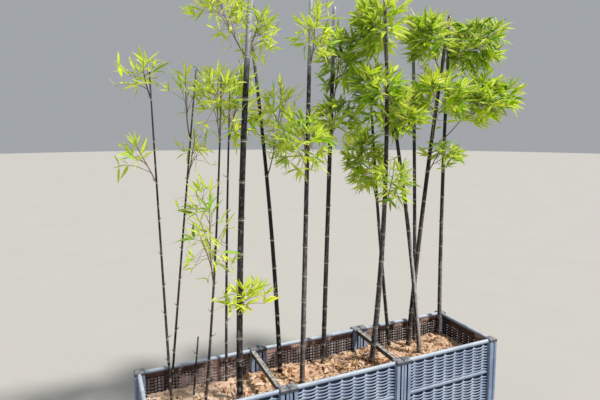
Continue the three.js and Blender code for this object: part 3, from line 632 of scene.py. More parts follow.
# %% Joint posts
FACE = JOINT_DEEP / 2
STRIP_WIDE, STRIP_DEEP = 6, 28
SHADE_SUNK, SEAM_HALF, GROOVE_FROM, GROOVE_TO = 3, 2.5, 13, 20
half_post = [(1.1, -FACE + 4), (2.2, -FACE + 0.4), (12.8, -FACE + 0.4), (13.8, -FACE + 10),
             (19.2, -FACE + 10), (20.2, -FACE), (34.4, -FACE), (36.4, -FACE + 2), (36.4, -FACE + 8),
             (38, -FACE + 9)]
half_post += [(px, -py) for px, py in reversed(half_post)]
for side, y in (("front", -WALL_LINE), ("back", WALL_LINE)):
    for part, x in (("left", -JOINT_X), ("right", JOINT_X)):
        meshes = []
        for mirror in (1, -1):
            outline = [(x + mirror * px, y + py) for px, py in half_post]
            meshes.append(drawn_up(outline, post_levels, "half_post", rattan_outside, POST_BEVEL))
            meshes.append(cap_plate(x + mirror * (JOINT_WIDE / 4 + 0.2), y, JOINT_WIDE / 2 - 1.6,
                                    JOINT_DEEP + 5.4))
        meshes.append(drawn_up(rectangle(x, y, STRIP_WIDE, STRIP_DEEP), [(4, 0), (CAP_HEAD - 6, 0)],
                               "strip", rattan_outside))
        post = one_piece(f"post_{side}_{part}", meshes, [rattan_outside, post_cap_plastic, groove_dirt])
        # Faces sunk deep in the seam and the grooves are painted dark navy as shade.
        for polygon in post.data.polygons:
            aside = abs(polygon.center.x / MM - x)
            sunk = FACE - abs(polygon.center.y / MM - y)
            in_groove = aside < SEAM_HALF or GROOVE_FROM < aside < GROOVE_TO
            if polygon.material_index == 0 and sunk > SHADE_SUNK and in_groove:
                polygon.material_index = 2
        keep(post, [f"joint_post_{side}_{part}"])
print("joint posts:", len(half_post) * 2, "corners in an outline")

# %% Corner posts
CORNER_X, CORNER_Y, HALF = LENGTH / 2 - CORNER_WIDE / 2, DEPTH / 2 - CORNER_WIDE / 2, CORNER_WIDE / 2
CAP_MARGIN = 0.6
quarter = [(HALF - 4.5, -HALF), (HALF - 1.2, -HALF + 1.2), (HALF, -HALF + 4.5), (HALF, -7.5),
           (HALF - 4, -5.2), (HALF - 4, 5.2), (HALF, 7.5)]
corner_outline = []
for turn in range(4):
    spin = Matrix.Rotation(turn * math.pi / 2, 2)
    corner_outline += [tuple(spin @ Vector(p)) for p in quarter]
for side, y in (("front", -CORNER_Y), ("back", CORNER_Y)):
    for part, x in (("left", -CORNER_X), ("right", CORNER_X)):
        outline = [(x + px, y + py) for px, py in corner_outline]
        shaft = drawn_up(outline, post_levels, "corner", rattan_outside)
        cap = cap_plate(x, y, CORNER_WIDE - CAP_MARGIN, CORNER_WIDE - CAP_MARGIN)
        post = one_piece(f"corner_{side}_{part}", [shaft, cap], [rattan_outside, post_cap_plastic])
        keep(post, [f"corner_post_{side}_{part}"])
print("corner posts:", len(corner_outline), "corners in an outline")

# %% [markdown]
# ## Tie bars and tray
# Flat bars tie the long walls together at the rim. Each is a folded strip: a level top with
# turned-down sides, dusty on top, so its section is drawn from the front wall to the back one.
# The tray at the foot is plain and keeps its CAD mesh.

# %% Tie bars and tray
BAR_SLIM, BAR_END = 0.78, 30
BAR_HALF_SPAN = WALL_LINE - JOINT_DEEP / 2 - 3 - GAP
section = [(-13, -20), (-11, -20), (-10.6, -4.4), (-9.4, -3), (9.4, -3), (10.6, -4.4), (11, -20), (13, -20),
           (13, -2.6), (12.2, -0.8), (10.4, 0), (3.2, 0), (2.4, -0.9), (-2.4, -0.9), (-3.2, 0), (-10.4, 0),
           (-12.2, -0.8), (-13, -2.6)]
count = len(section)
bar_stops = (-BAR_HALF_SPAN, -BAR_HALF_SPAN + BAR_END, 0, BAR_HALF_SPAN - BAR_END, BAR_HALF_SPAN)
for part, x in (("left", -296), ("right", 253)):
    points = [((x + px * BAR_SLIM) * MM, y * MM, (RIM + pz) * MM) for y in bar_stops for px, pz in section]
    ends = [tuple(reversed(range(count))), tuple(range(len(points) - count, len(points)))]
    mesh = plain_mesh(f"rim_bar_{part}", points, side_faces(count, len(bar_stops)) + ends)
    with opened(mesh) as build:
        bmesh.ops.recalc_face_normals(build, faces=build.faces)
    mesh.materials.append(tie_bar_plastic)
    bar = as_piece(f"rim_bar_{part}", mesh)
    keep(bar, [f"tie_bar_{part}"])
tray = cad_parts["base_tray"]
tray.data.materials.clear()
tray.data.materials.append(planter_liner)
print("a tie bar:", triangles(bar), "triangles")

# %% [markdown]
# ## Soil
# The soil is dry orange clay in clods, with paler crumbs on top and hollows painted dark as
# shade, heaped round the tenth cane and paler at the left end. Its top could be one lumpy plane, but a fine
# grid that follows the solid's swells keeps it where the solid is, and noise of three sizes
# breaks it up. Clods, pebbles and dry leaves are strewn over it later.

# %% Finishes of the soil and litter
soil_finish = Finish("clay_soil")
crumbs = soil_finish.clouds(95, 6)
patches = soil_finish.clouds(14, 4)
clay = soil_finish.mix(patches.between(0.35, 0.68), srgb(188, 148, 120), srgb(218, 186, 156))
clay = soil_finish.mix(crumbs.between(0.5, 0.7) * 0.7, clay, srgb(232, 212, 186))
# Where the crumb noise, which also drives the bump, is low, the clay is painted dark brown: painted shade in
# the hollows.
clay = soil_finish.mix(crumbs.between(0.46, 0.3) * 0.75, clay, srgb(96, 62, 44))
clay = soil_finish.mix(soil_finish.along("X").between(-0.3, -0.5) * 0.45, clay, srgb(222, 206, 186))
clay_soil = soil_finish.surface(
    Base_Color=clay, Roughness=0.95,
    Normal=soil_finish.bump(crumbs + soil_finish.clouds(420, 3) * 0.4, 0.004, 0.8))


def grainy(name, scale, dark, light, roughness):
    finish = Finish(name)
    return finish.surface(Base_Color=finish.mix(finish.clouds(scale, 4), dark, light), Roughness=roughness,
                          Normal=finish.bump(finish.clouds(500, 3), 0.001, 0.6))


def husk(name, shaded, lit):
    finish = Finish(name)
    fibre = finish.clouds(160, 4)
    return finish.surface(Base_Color=finish.mix(fibre.between(0.3, 0.7), shaded, lit), Roughness=0.8,
                          Normal=finish.bump(fibre, 0.001, 0.5))


pale_pebble = grainy("pale_pebble", 70, srgb(190, 160, 134), srgb(226, 206, 182), 0.85)
damp_clay = grainy("damp_clay", 90, srgb(112, 74, 52), srgb(170, 122, 88), 0.9)
dry_straw = husk("dry_straw", srgb(168, 128, 86), srgb(232, 206, 158))
bleached_husk = husk("bleached_husk", srgb(196, 164, 146), srgb(238, 218, 200))
brown_husk = husk("brown_husk", srgb(104, 66, 44), srgb(168, 116, 78))
print("soil finishes:", len(bpy.data.materials), "materials so far")

# %% The soil's top
SOIL_LEVEL, SOIL_RELIEF, TRAY_THICK = 348, 9, 12
MOUND_X, MOUND_Y, MOUND_HIGH, MOUND_WIDE = 205, -10, 24, 120
WALL_INSIDE, GRID_STEP, TOO_CLOSE = 9.5, 6.5, 2.5
INNER_X, INNER_Y = END_LINE - WALL_INSIDE - GAP, WALL_LINE - WALL_INSIDE - GAP
NOTCH_X, NOTCH_Y = LENGTH / 2 - CORNER_WIDE - GAP, DEPTH / 2 - CORNER_WIDE - GAP
JOINT_Y, JOINT_HALF = WALL_LINE - JOINT_DEEP / 2 - GAP, JOINT_WIDE / 2 + GAP


def swell(x, y):
    """The height of the solid soil's top, in mm, by the same waves as the solid's."""
    long = math.sin(x * 0.0121 + 0.7) * math.cos(y * 0.016 + 0.4)
    short = math.sin(x * 0.031 + y * 0.024 + 1.3)
    mound = math.exp(-((x - MOUND_X) ** 2 + (y - MOUND_Y) ** 2) / MOUND_WIDE ** 2)
    return SOIL_LEVEL + SOIL_RELIEF * (0.65 * long + 0.35 * short) + MOUND_HIGH * mound


def in_planter(x, y, room=0.0):
    """True inside the walls and clear of the posts by room."""
    x, y = abs(x) + room, abs(y) + room
    if x > INNER_X or y > INNER_Y or (x > NOTCH_X and y > NOTCH_Y):
        return False
    return not (abs(x - JOINT_X) < JOINT_HALF + 2 * room and y > JOINT_Y)


def clod_relief(x, y):
    """Noise of three sizes: heaves of 46 mm, clods of 30 mm and crumbs of 11 mm."""
    place = Vector((x, y, 0.0))
    heaves = noise.noise(place / 46) * 6.5
    lumps = max(0.0, 0.5 - noise.voronoi(place / 30)[0][0]) * 17
    return heaves + lumps + noise.noise(place / 11) * 4.5 - 4


def grid_lines(reach, *stops):
    """Even lines from -reach to reach, with one at each stop and none too close to a stop."""
    even_lines = np.arange(-reach, reach, GRID_STEP)
    kept = [v for v in even_lines if all(abs(abs(v) - s) > TOO_CLOSE for s in (*stops, reach))]
    return sorted({*kept, -reach, reach, *stops, *(-s for s in stops)})


xs = grid_lines(INNER_X, NOTCH_X, JOINT_X - JOINT_HALF, JOINT_X + JOINT_HALF)
ys = grid_lines(INNER_Y, NOTCH_Y, JOINT_Y)
print("soil grid:", len(xs), "by", len(ys), "lines")

# %% [markdown]
# ## Where the canes stand
# The fifteen canes are listed by foot, height, thickness at foot and top, lean and bow. The solid
# soil is made of flat triangles, and each solid cane is cut level just over the highest of them
# under its foot, so the same sum is done here: a cane has to stand where its solid stands.
# Internodes are short at the foot and grow longer upwards, as on a real cane.

# %% Where a cane meets the soil
SOIL_CELLS_LONG, SOIL_CELLS_DEEP = 14, 4


def soil_top(x, y):
    """The height of the solid soil at a place, on the flat triangles of its grid."""
    step_x, step_y = LENGTH / SOIL_CELLS_LONG, DEPTH / SOIL_CELLS_DEEP
    x0 = math.floor((x + LENGTH / 2) / step_x) * step_x - LENGTH / 2
    y0 = DEPTH / 2 - math.floor((DEPTH / 2 - y) / step_y) * step_y
    u, v = (x - x0) / step_x, (y0 - y) / step_y
    right, far = swell(x0 + step_x, y0), swell(x0, y0 - step_y)
    if u + v <= 1:
        here = swell(x0, y0)
        return here + u * (right - here) + v * (far - here)
    opposite = swell(x0 + step_x, y0 - step_y)
    return opposite + (1 - u) * (far - opposite) + (1 - v) * (right - opposite)


print("soil on the mound:", round(soil_top(MOUND_X, MOUND_Y)), "mm over the floor")

# %% The canes
FIRST_NODE, FIRST_SPACE, SPACE_GROWS, LONGEST_SPACE, LAST_SPACE = 28, 70, 11, 158, 40


class Cane:
    def __init__(self, name, at, tall, thick, lean, bow, sides, tone, waxy, worn):
        self.name, self.at, self.tall, self.thick, self.sides = name, at, tall, thick, sides
        self.tone, self.waxy, self.worn = tone, waxy, worn
        angles = [i * math.pi / 6 for i in range(12)]
        ring = [(at[0] + thick[0] / 2 * math.cos(a), at[1] + thick[0] / 2 * math.sin(a)) for a in angles]
        self.foot = max(soil_top(*p) for p in [at, *ring]) + GAP
        self.heights = [0.0]
        space, height = FIRST_SPACE, FIRST_NODE
        while height < tall - LAST_SPACE:
            self.heights.append(height)
            height += space
            space = min(space + SPACE_GROWS, LONGEST_SPACE)
        self.heights.append(tall)
        self.nodes = self.heights[1:-1]
        shares = np.array(self.heights) / tall
        bulge = 4 * shares * (1 - shares)
        self.middles = np.column_stack([at[0] + lean[0] * shares + bow[0] * bulge,
                                        at[1] + lean[1] * shares + bow[1] * bulge, self.foot + shares * tall])

    def radius(self, height):
        return (self.thick[0] + (self.thick[1] - self.thick[0]) * height / self.tall) / 2

    def point(self, height):
        """The middle line, which runs straight from node to node."""
        return np.array([np.interp(height, self.heights, self.middles[:, i]) for i in range(3)])


# Name, foot, height, thickness at foot and top, lean, bow, sides of the solid, and then how
# aged and how waxy at the top the skin is, and how strong the pale sheen on its lower front is,
# a painted highlight with some wear in it.
CANES = {name: Cane(name, *rest) for name, *rest in (
    ("culm_01", (-672, 71), 1314, (11.5, 6), (-43, 19), (-1, 0), 6, 0.35, 0.1, 0.1),
    ("culm_02", (-662, 145), 1327, (10.5, 6), (122, -54), (-1, 1), 6, 0.15, 0.3, 0.1),
    ("culm_03_stub", (-579, 92), 256, (9, 7), (22, -10), (0, 0), 6, 0.5, 0.2, 0.2),
    ("culm_04", (-544, 22), 1304, (11.5, 6), (78, -35), (9, -4), 6, 0.25, 0.3, 0.1),
    ("culm_05", (-426, 143), 1269, (12.5, 7), (32, -14), (-5, 2), 6, 0.2, 0.35, 0.1),
    ("culm_06", (-418, -34), 1614, (26, 21), (57, -25), (-13, 6), 8, 0.3, 1.0, 0.0),
    ("culm_07", (-186, 111), 1454, (21, 13), (-102, 45), (14, -6), 6, 0.0, 0.25, 0.0),
    ("culm_08", (-129, -6), 1646, (23, 15), (32, -14), (0, 0), 6, 0.5, 1.3, 0.35),
    ("culm_09", (33, 113), 1634, (22, 17), (39, -17), (0, 0), 6, 0.2, 0.7, 0.2),
    ("culm_10", (215, -22), 1630, (26, 14), (29, -13), (30, -13), 6, 0.4, 0.25, 0.3),
    ("culm_11", (421, 135), 1335, (18, 12), (-108, 48), (-7, 3), 6, 0.1, 0.2, 0.2),
    ("culm_12", (513, 9), 1304, (23, 14), (-162, 72), (13, -6), 6, 0.3, 0.4, 1.7),
    ("culm_13", (514, 102), 1639, (24, 16), (147, -65), (-11, 5), 6, 0.15, 0.15, 0.2),
    ("culm_14", (580, 135), 1545, (20, 15), (-41, 18), (3, -2), 6, 0.4, 0.45, 0.4),
    ("culm_15", (742, 135), 1597, (22, 15), (8, 3), (-6, 5), 6, 0.3, 0.2, 0.6))}
print("canes:", len(CANES), "feet at", [round(cane.foot) for cane in CANES.values()])

# %% The soil's mesh
FOOT_SPREAD, FOOT_RISE, SHADE_RIM = 24, 2.5, 4.5
SMOOTH_OVER, SOIL_OVER = 0.3, 0.1


def ground(x, y):
    """The height of the dressed soil, drawn up to the foot of each cane."""
    height = swell(x, y) + clod_relief(x, y)
    for cane in CANES.values():
        near = math.exp(-((x - cane.at[0]) ** 2 + (y - cane.at[1]) ** 2) / FOOT_SPREAD ** 2)
        height += near * (cane.foot + FOOT_RISE - height)
    return height


def open_edges(build):
    return [e for e in build.edges if len(e.link_faces) == 1]


soil_mesh = bpy.data.meshes.new("soil_bed")
with opened(soil_mesh) as build:
    grid = [[build.verts.new((x * MM, y * MM, ground(x, y) * MM)) for x in xs] for y in ys]
    for near, far, y0, y1 in zip(grid, grid[1:], ys, ys[1:]):
        for i, (x0, x1) in enumerate(zip(xs, xs[1:])):
            if in_planter((x0 + x1) / 2, (y0 + y1) / 2):
                build.faces.new((near[i], near[i + 1], far[i + 1], far[i]))
    bmesh.ops.delete(build, geom=[v for v in build.verts if not v.link_faces], context="VERTS")
    for drawn in bmesh.ops.extrude_edge_only(build, edges=open_edges(build))["geom"]:
        if isinstance(drawn, bmesh.types.BMVert):
            drawn.co.z = (TRAY_THICK + GAP) * MM
    bmesh.ops.holes_fill(build, edges=open_edges(build), sides=0)
    bmesh.ops.triangulate(build, faces=[f for f in build.faces if len(f.verts) > 4])
    bmesh.ops.recalc_face_normals(build, faces=build.faces)
    for face in build.faces:
        face.smooth = face.normal.z > SMOOTH_OVER
        # Faces that look up take the clay, except close to a wall, where the dark liner finish is a painted
        # shadow along the foot of the wall; the sides and bottom take the liner.
        place = face.calc_center_median() / MM
        earth = face.normal.z > SOIL_OVER and in_planter(place.x, place.y, SHADE_RIM)
        face.material_index = 0 if earth else 1
soil_mesh.materials.append(clay_soil)
soil_mesh.materials.append(planter_liner)
soil_piece = as_piece("soil_bed", soil_mesh)
keep(soil_piece, ["soil"])
print("soil:", triangles(soil_piece), "triangles")

# %% [markdown]
# ## Strewn pieces
# Clods, pebbles, straw and leaves are all one idea: a small closed shape, copied to many points
# that each hold a turn, a size and the number of the shape to take. They could be placed by hand
# or by particles, but one tree does it for all of them and gives the same result each time. The
# shapes stay out of the scene, in a collection that only the tree reads.

# %% The strewing tree
strewn = Growth("strewn", Shapes="Collection", Material="Material", Smooth="Bool")
shapes = strewn.node("GeometryNodeCollectionInfo", None, {
    "Collection": strewn.given("Shapes"), "Separate Children": True, "Reset Children": True})
turned = strewn.node("FunctionNodeEulerToRotation", None, {0: strewn.named("turn", "FLOAT_VECTOR")})
placed = strewn.copies(
    strewn.given("Mesh"), shapes, Pick_Instance=True, Instance_Index=strewn.named("kind", "INT"),
    Rotation=turned, Scale=strewn.named("size", "FLOAT_VECTOR"))
strewn.end(placed, strewn.given("Material"), strewn.given("Smooth"))
print("the strewing tree:", len(strewn.tree.nodes), "nodes")

# %% Shapes to strew
def shape_set(name, meshes):
    """Shapes in a collection of their own; their numbers follow their names' order."""
    shelf = bpy.data.collections.new(name)
    for number, mesh in enumerate(meshes):
        shelf.objects.link(bpy.data.objects.new(f"{name}_{number:02d}", mesh))
    return shelf


def seeded(seed):
    """A seeded run of numbers from 0 to 1, the same each time."""
    state = seed & 0xFFFFFFFF

    def draw():
        nonlocal state
        state = (state * 1664525 + 1013904223) & 0xFFFFFFFF
        return state / 4294967296
    draw()
    draw()
    return draw


def lumpy(seed, squash, fineness=1):
    """A clod of 20 faces or more, its corners moved in and out by chance."""
    chance = seeded(seed)
    mesh = bpy.data.meshes.new("clod")
    with opened(mesh) as build:
        bmesh.ops.create_icosphere(build, subdivisions=fineness, radius=1.0)
        for vertex in build.verts:
            swelling = noise.noise(vertex.co * 1.3 + Vector((seed, 0, 0)))
            vertex.co *= 1 + 0.5 * swelling + (0.5 * chance() - 0.25) / fineness
            vertex.co.z *= squash
    return mesh


def blade_mesh(name, rows, fold, arch, twist, sweep, wide, thick=0.008, slope=0.0):
    """A closed leaf of unit length along X: a folded upper face, a lower face a little under it.
    rows holds (share of the length, share of the width)."""
    points, blade = [], []
    for t, share in rows:
        angle = twist * t
        half = wide * share / 2
        centre = Vector((t * (1 - 0.25 * arch * t), sweep * t * t, slope * t - arch * t * t * 0.5))
        across = Vector((0, math.cos(angle), math.sin(angle)))
        over = Vector((0, -math.sin(angle), math.cos(angle)))
        lift = over * (fold * half)
        side = across * half
        points += [centre - side + lift, centre, centre + side + lift, centre - over * thick]
        blade += [(-1, t, 0), (0, t, 0), (1, t, 0), (0, t, 1)]
    last = len(points) - 4
    ends = [(0, 3, 2, 1), (last, last + 1, last + 2, last + 3)]
    mesh = plain_mesh(name, points, side_faces(4, len(rows)) + ends, blade=blade)
    with opened(mesh) as build:
        bmesh.ops.recalc_face_normals(build, faces=build.faces)
        # A thin shape that is strongly folded can come out of this inside out.
        if build.calc_volume(signed=True) < 0:
            bmesh.ops.reverse_faces(build, faces=build.faces)
        for edge in build.edges:
            # The two margins stay sharp: they join corners 0 of all rows, or corners 2.
            edge.smooth = {vertex.index % 4 for vertex in edge.verts} not in ({0}, {2})
    return mesh


print("first number of seed 31:", round(seeded(31)(), 3))

# %% Strewing
GOLDEN_SHARE = 0.6180339


def strew(name, points, shelf, materials, smooth=True):
    """Copies shapes to points, each (place in mm, turn, size in mm, kind, tone), as one piece."""
    places, turns, sizes, kinds, tones = (np.array(values) for values in zip(*points))
    start = plain_mesh(name, places * MM, turn=turns, size=sizes * MM, kind=kinds, tone=tones,
                       hue=np.array([(i * GOLDEN_SHARE) % 1 for i in range(len(points))]))
    piece = strewn.run(name, start, Shapes=shelf, Material=materials[0], Smooth=smooth)
    for material in materials[1:]:
        piece.data.materials.append(material)
    # A face takes the finish that its first corner's tone names.
    tone_of = np.zeros(len(piece.data.vertices), dtype=np.int32)
    piece.data.attributes["tone"].data.foreach_get("value", tone_of)
    corner_at = np.zeros(len(piece.data.loops), dtype=np.int32)
    piece.data.loops.foreach_get("vertex_index", corner_at)
    first_corner = np.zeros(len(piece.data.polygons), dtype=np.int32)
    piece.data.polygons.foreach_get("loop_start", first_corner)
    piece.data.polygons.foreach_set("material_index", tone_of[corner_at[first_corner]])
    return piece


print("strewing ready")

# %% [markdown]
# The heap at the tenth cane is full of straw and fallen leaves, and the rest of the bed has a few,
# with clods and pale pebbles between them. The left end has more of the bleached ones.

# %% Clods, pebbles, straw and fallen leaves
LEAF_ROWS = ((0, 0.09), (0.05, 0.11), (0.13, 0.62), (0.3, 0.97), (0.52, 0.9), (0.75, 0.55), (0.91, 0.2),
             (1, 0.015))
STRAW_ROWS = ((0, 0.9), (0.5, 1.0), (1, 0.7))
CLODS, ON_HEAP, SMALLEST_CLOD, CLOD_RANGE, BIG_CLOD = 1900, 0.1, 2.4, 12, 6.5
LITTER, LITTER_ON_HEAP, LITTER_LONG = 960, 0.5, (58, 64, 70, 58)
LEFT_END, HEAP_SPREAD, WALL_ROOM, CANE_ROOM = -300, 78, 15, 5
ANY_TURN = 6.28
clod_shapes = shape_set("clod_shape", [lumpy(31 + i, 0.75 if i < 4 else 0.3) for i in range(6)] +
                        [lumpy(61 + i, (0.8, 0.6, 0.4)[i], 2) for i in range(3)])
litter_shapes = shape_set("litter_shape", [
    blade_mesh("fallen_leaf", LEAF_ROWS, 0.5, 0.25, 0.8, 0.05, 0.14),
    blade_mesh("fallen_leaf", LEAF_ROWS, 0.9, -0.2, -1.2, -0.1, 0.12),
    blade_mesh("straw", STRAW_ROWS, 0.6, 0.1, 0.3, 0.08, 0.035, 0.012),
    blade_mesh("sheath_scrap", STRAW_ROWS, 0.8, 0.5, 1.0, 0.1, 0.28, 0.02)])
chance = seeded(77)


def bed_place(heap_share):
    """A chance place on the soil, on the heap for a share of them."""
    while True:
        if chance() < heap_share:
            spread, turn = HEAP_SPREAD * math.sqrt(chance()), 2 * math.pi * chance()
            x, y = MOUND_X + 1.5 * spread * math.cos(turn), MOUND_Y + spread * math.sin(turn)
        else:
            x, y = INNER_X * (2 * chance() - 1), INNER_Y * (2 * chance() - 1)
        clear = all(math.dist((x, y), c.at) > c.thick[0] / 2 + CANE_ROOM for c in CANES.values())
        if in_planter(x, y, WALL_ROOM) and clear:
            return x, y


def on_bed(x, y, up):
    return (x, y, ground(x, y) + up)


clods = []
for i in range(CLODS):
    x, y = bed_place(ON_HEAP)
    size = SMALLEST_CLOD + CLOD_RANGE * chance() ** 3
    turn = tuple(ANY_TURN * chance() for _ in range(3))
    kind, share = int(6 * chance()), chance()
    kind = kind if size < BIG_CLOD else 6 + kind // 2
    tone = 1 if share < 0.1 else 2 if share < 0.3 else 0
    deep = size * (0.8 + 0.4 * chance())
    clods.append((on_bed(x, y, size * 0.25), turn, (size, deep, size * 0.8), kind, tone))
litter = []
for i in range(LITTER):
    x, y = bed_place(LITTER_ON_HEAP)
    kind, share = int(4 * chance()), chance()
    size = LITTER_LONG[kind] * (0.5 + 0.6 * chance())
    turn = (0.8 * (chance() - 0.5), 0.5 * (chance() - 0.5), ANY_TURN * chance())
    brown, bleached = (0.14, 0.8) if x < LEFT_END else (0.28, 0.55)
    tone = 2 if share < brown else 1 if share < bleached else 0
    litter.append((on_bed(x, y, 3 + 4 * chance()), turn, (size, size, size), kind, tone))
clod_piece = strew("soil_clods", clods, clod_shapes, [clay_soil, pale_pebble, damp_clay], smooth=False)
litter_piece = strew("soil_litter", litter, litter_shapes, [dry_straw, bleached_husk, brown_husk])
for piece in (clod_piece, litter_piece):
    keep(piece, ["soil"])
    print(piece.name, triangles(piece), "triangles")

# %% [markdown]
# ## Canes
# A black bamboo cane is a smooth tube in internodes. Each node has a sharp sheath scar, a
# soft ridge just over it, and a crisp band of pale bloom under it. The skin is near black and
# mottled, grey-brown with age and waxy at the top of some canes. On the lower part of others a
# pale grey sheen is painted on the side that faces front and a little right, where the sun's
# highlight falls: a painted highlight, with some real weathering in it. A stack of cylinders
# would show steps, so a line of points holds the radius and the share of bloom, scar, wax,
# painted sheen and age, and a tree sweeps a circle along it. That keeps the fine relief where it
# is needed and nowhere else.

# %% The rod tree and the cane's skin
# The way faced by the side of a cane where the sun's highlight falls.
HIGHLIGHT_SIDE = (0.08, -0.99, 0.0)
rod_tree = Growth("rods", Corners="Int", Material="Material")
rods = rod_tree.node("GeometryNodeMeshToCurve", None, {"Mesh": rod_tree.given("Mesh")})
round_section = rod_tree.node("GeometryNodeCurvePrimitiveCircle", None,
                              {"Resolution": rod_tree.given("Corners"), "Radius": 1.0})
swept = rod_tree.node("GeometryNodeCurveToMesh", None, {
    "Curve": rods, "Profile Curve": round_section, "Scale": rod_tree.named("radius"), "Fill Caps": True})
rod_tree.end(swept, rod_tree.given("Material"))

skin = Finish("cane_skin")
tone = skin.attribute("tone")
streaks = skin.clouds(60, 4, (1, 1, 0.08))
mottle = skin.clouds(120, 5, (1, 1, 0.5)).between(0.42, 0.66)
blotch = skin.clouds(16, 4, (1, 1, 0.35)).between(0.45, 0.7)
aged = (tone + streaks * 0.7 + blotch * 0.4 - 0.5).between(0.0, 1.0)
bark = skin.mix(aged, srgb(10, 11, 15), srgb(54, 52, 59))
brown = skin.clouds(7, 2, (1, 1, 0.5)).between(0.5, 0.62)
bark = skin.mix(brown * 0.6, bark, srgb(62, 46, 40))
bark = skin.mix(mottle * (tone * 0.5 + 0.05), bark, srgb(128, 122, 114))
# Small pale flecks painted into the skin: partly wax remnants, partly painted glints of light.
glints = skin.clouds(70, 2, (1, 1, 0.4)).between(0.62, 0.68)
bark = skin.mix(glints * 0.45, bark, srgb(150, 154, 152))
# A pale grey sheen painted on the side facing front and a little right: a painted highlight, with some real
# weathering.
painted_sheen = streaks.between(0.35, 0.58) * 0.35 + mottle * 0.3 + 0.15
painted_sheen = skin.facing(HIGHLIGHT_SIDE).between(0.45, 0.95) * painted_sheen
bark = skin.mix(painted_sheen * skin.attribute("worn"), bark, srgb(186, 182, 184))
wax = skin.attribute("wax") * (streaks.between(0.3, 0.55) * 0.3 + 0.65)
bark = skin.mix(wax, bark, srgb(196, 196, 210))
bloom = skin.attribute("bloom") * (blotch * 0.25 + streaks * 0.3 + 0.5)
bark = skin.mix(bloom, bark, srgb(222, 216, 198))
bark = skin.mix(skin.attribute("scar"), bark, srgb(54, 44, 40))
fibres = skin.clouds(1500, 2, (1, 1, 0.04)) * 0.5 + mottle * 0.3
cane_skin = skin.surface(
    Base_Color=bark, Roughness=streaks * 0.2 + mottle * 0.1 + 0.18, Coat_Weight=0.12, Coat_Roughness=0.12,
    Specular_IOR_Level=0.22, Normal=skin.bump(fibres, 0.0003, 0.4))
print("the cane's skin:", len(skin.tree.nodes), "nodes")

# %% The line of a cane
UP = np.array([0.0, 0.0, 1.0])
NEAR_NODE = (-9.0, -5.0, -3.2, -2.2, -1.2, -0.5, 0.0, 0.5, 1.3, 2.4, 3.6, 5.0, 7.0, 11.0)
USUAL_RADIUS, THICK_CANE = 11, 14
WAX_FROM, SHEEN_TO, FADE = 0.8, 0.48, 0.1
STUB_LONG, STUB_SHORT, STUB_THICK = 26, 9, 1.3


def bell(distance, middle, spread):
    return math.exp(-((distance - middle) / spread) ** 2)


def faded(shares):
    return [float(share) for share in np.clip(shares / FADE, 0, 1)]


def cane_line(cane):
    """Points along a cane, close together at the nodes, and what each of them holds."""
    heights = {0.0, 6.0, 12.0, cane.tall - 0.8, cane.tall}
    for low, top in zip(cane.heights, cane.heights[1:]):
        heights.update(np.linspace(low, top, 4)[1:-1])
    for node in cane.nodes:
        heights.update(node + step for step in NEAR_NODE if 0 < node + step < cane.tall - 1)
    heights = sorted(heights)
    held = {"radius": [], "bloom": [], "scar": []}
    for height in heights:
        gap = min((height - node for node in cane.nodes), key=abs)
        # In mm from the node: a sharp scar, a dip over it, and a soft ridge.
        ridge = 1.0 * bell(gap, 0, 0.8) + 0.75 * bell(gap, 4.2, 2.2) - 0.25 * bell(gap, 1.8, 0.8)
        ridge *= cane.radius(height) / USUAL_RADIUS
        flare = 0.16 * math.exp(-height / 9) if cane.thick[0] > THICK_CANE else 0
        trim = 0.8 if height >= cane.tall else 1.0
        held["radius"].append((cane.radius(height) * (1 + flare) + ridge) * trim)
        held["bloom"].append(max(bell(gap, -2.6, 1.7), 0.3 * bell(gap, 3.4, 1.6)) * (gap < 0 or gap > 1))
        held["scar"].append(bell(gap, 0.2, 0.8))
    shares = np.array(heights) / cane.tall
    held["wax"] = [cane.waxy * share for share in faded(shares - WAX_FROM)]
    # The pale sheen, a painted highlight, fades out above a share of the cane's height.
    held["worn"] = [cane.worn * share for share in faded(SHEEN_TO - shares)]
    held["tone"] = [float(cane.tone)] * len(heights)
    points = [cane.point(height) for height in heights]
    points[0] = points[0] - np.array([0, 0, 2.0])
    return points, held


def branch_stubs(cane, number):
    """Short bare stubs of old twigs, two at a node, to the left and right by turns."""
    chance = seeded(7000 + number * 13)
    for k, node in enumerate(cane.nodes[1:]):
        side = k * math.pi + 0.6 * (chance() - 0.5)
        for spread, part in ((-0.35, 1.0), (0.35, 0.6)):
            length = part * (STUB_LONG if cane.thick[0] < THICK_CANE else STUB_SHORT)
            length *= 0.3 + 0.9 * chance() ** 2
            out = np.array([math.cos(side + spread), math.sin(side + spread), 0.0])
            start = cane.point(node + 4) + out * (cane.radius(node) - 0.6)
            bend = start + (out * 0.8 + UP * 0.35) * length * 0.5
            yield (start, bend, bend + (out * 0.45 + UP * 0.75) * length * 0.5), STUB_THICK * part


print("points along the first cane:", len(cane_line(CANES["culm_01"])[0]))

# %% Draw the canes
for number, cane in enumerate(CANES.values()):
    points, held = cane_line(cane)
    edges = [(i, i + 1) for i in range(len(points) - 1)]
    for stub, thick in branch_stubs(cane, number):
        edges += [(len(points), len(points) + 1), (len(points) + 1, len(points) + 2)]
        points += stub
        held["radius"] += [thick, 0.85 * thick, 0.6 * thick]
        held["bloom"] += [0.0, 0.15, 0.5]
        for label, value in (("scar", 0.0), ("wax", 0.0), ("worn", 0.0), ("tone", 0.8)):
            held[label] += [value] * 3
    held["radius"] = np.array(held["radius"]) * MM
    mesh = plain_mesh(cane.name, np.array(points) * MM, edges=edges, **held)
    corners = 18 if cane.sides > 6 or cane.thick[0] > THICK_CANE else 12
    piece = rod_tree.run(f"cane_{cane.name[5:]}", mesh, Corners=corners, Material=cane_skin)
    keep(piece, [cane.name])
print("canes drawn, the last with", triangles(piece), "triangles")

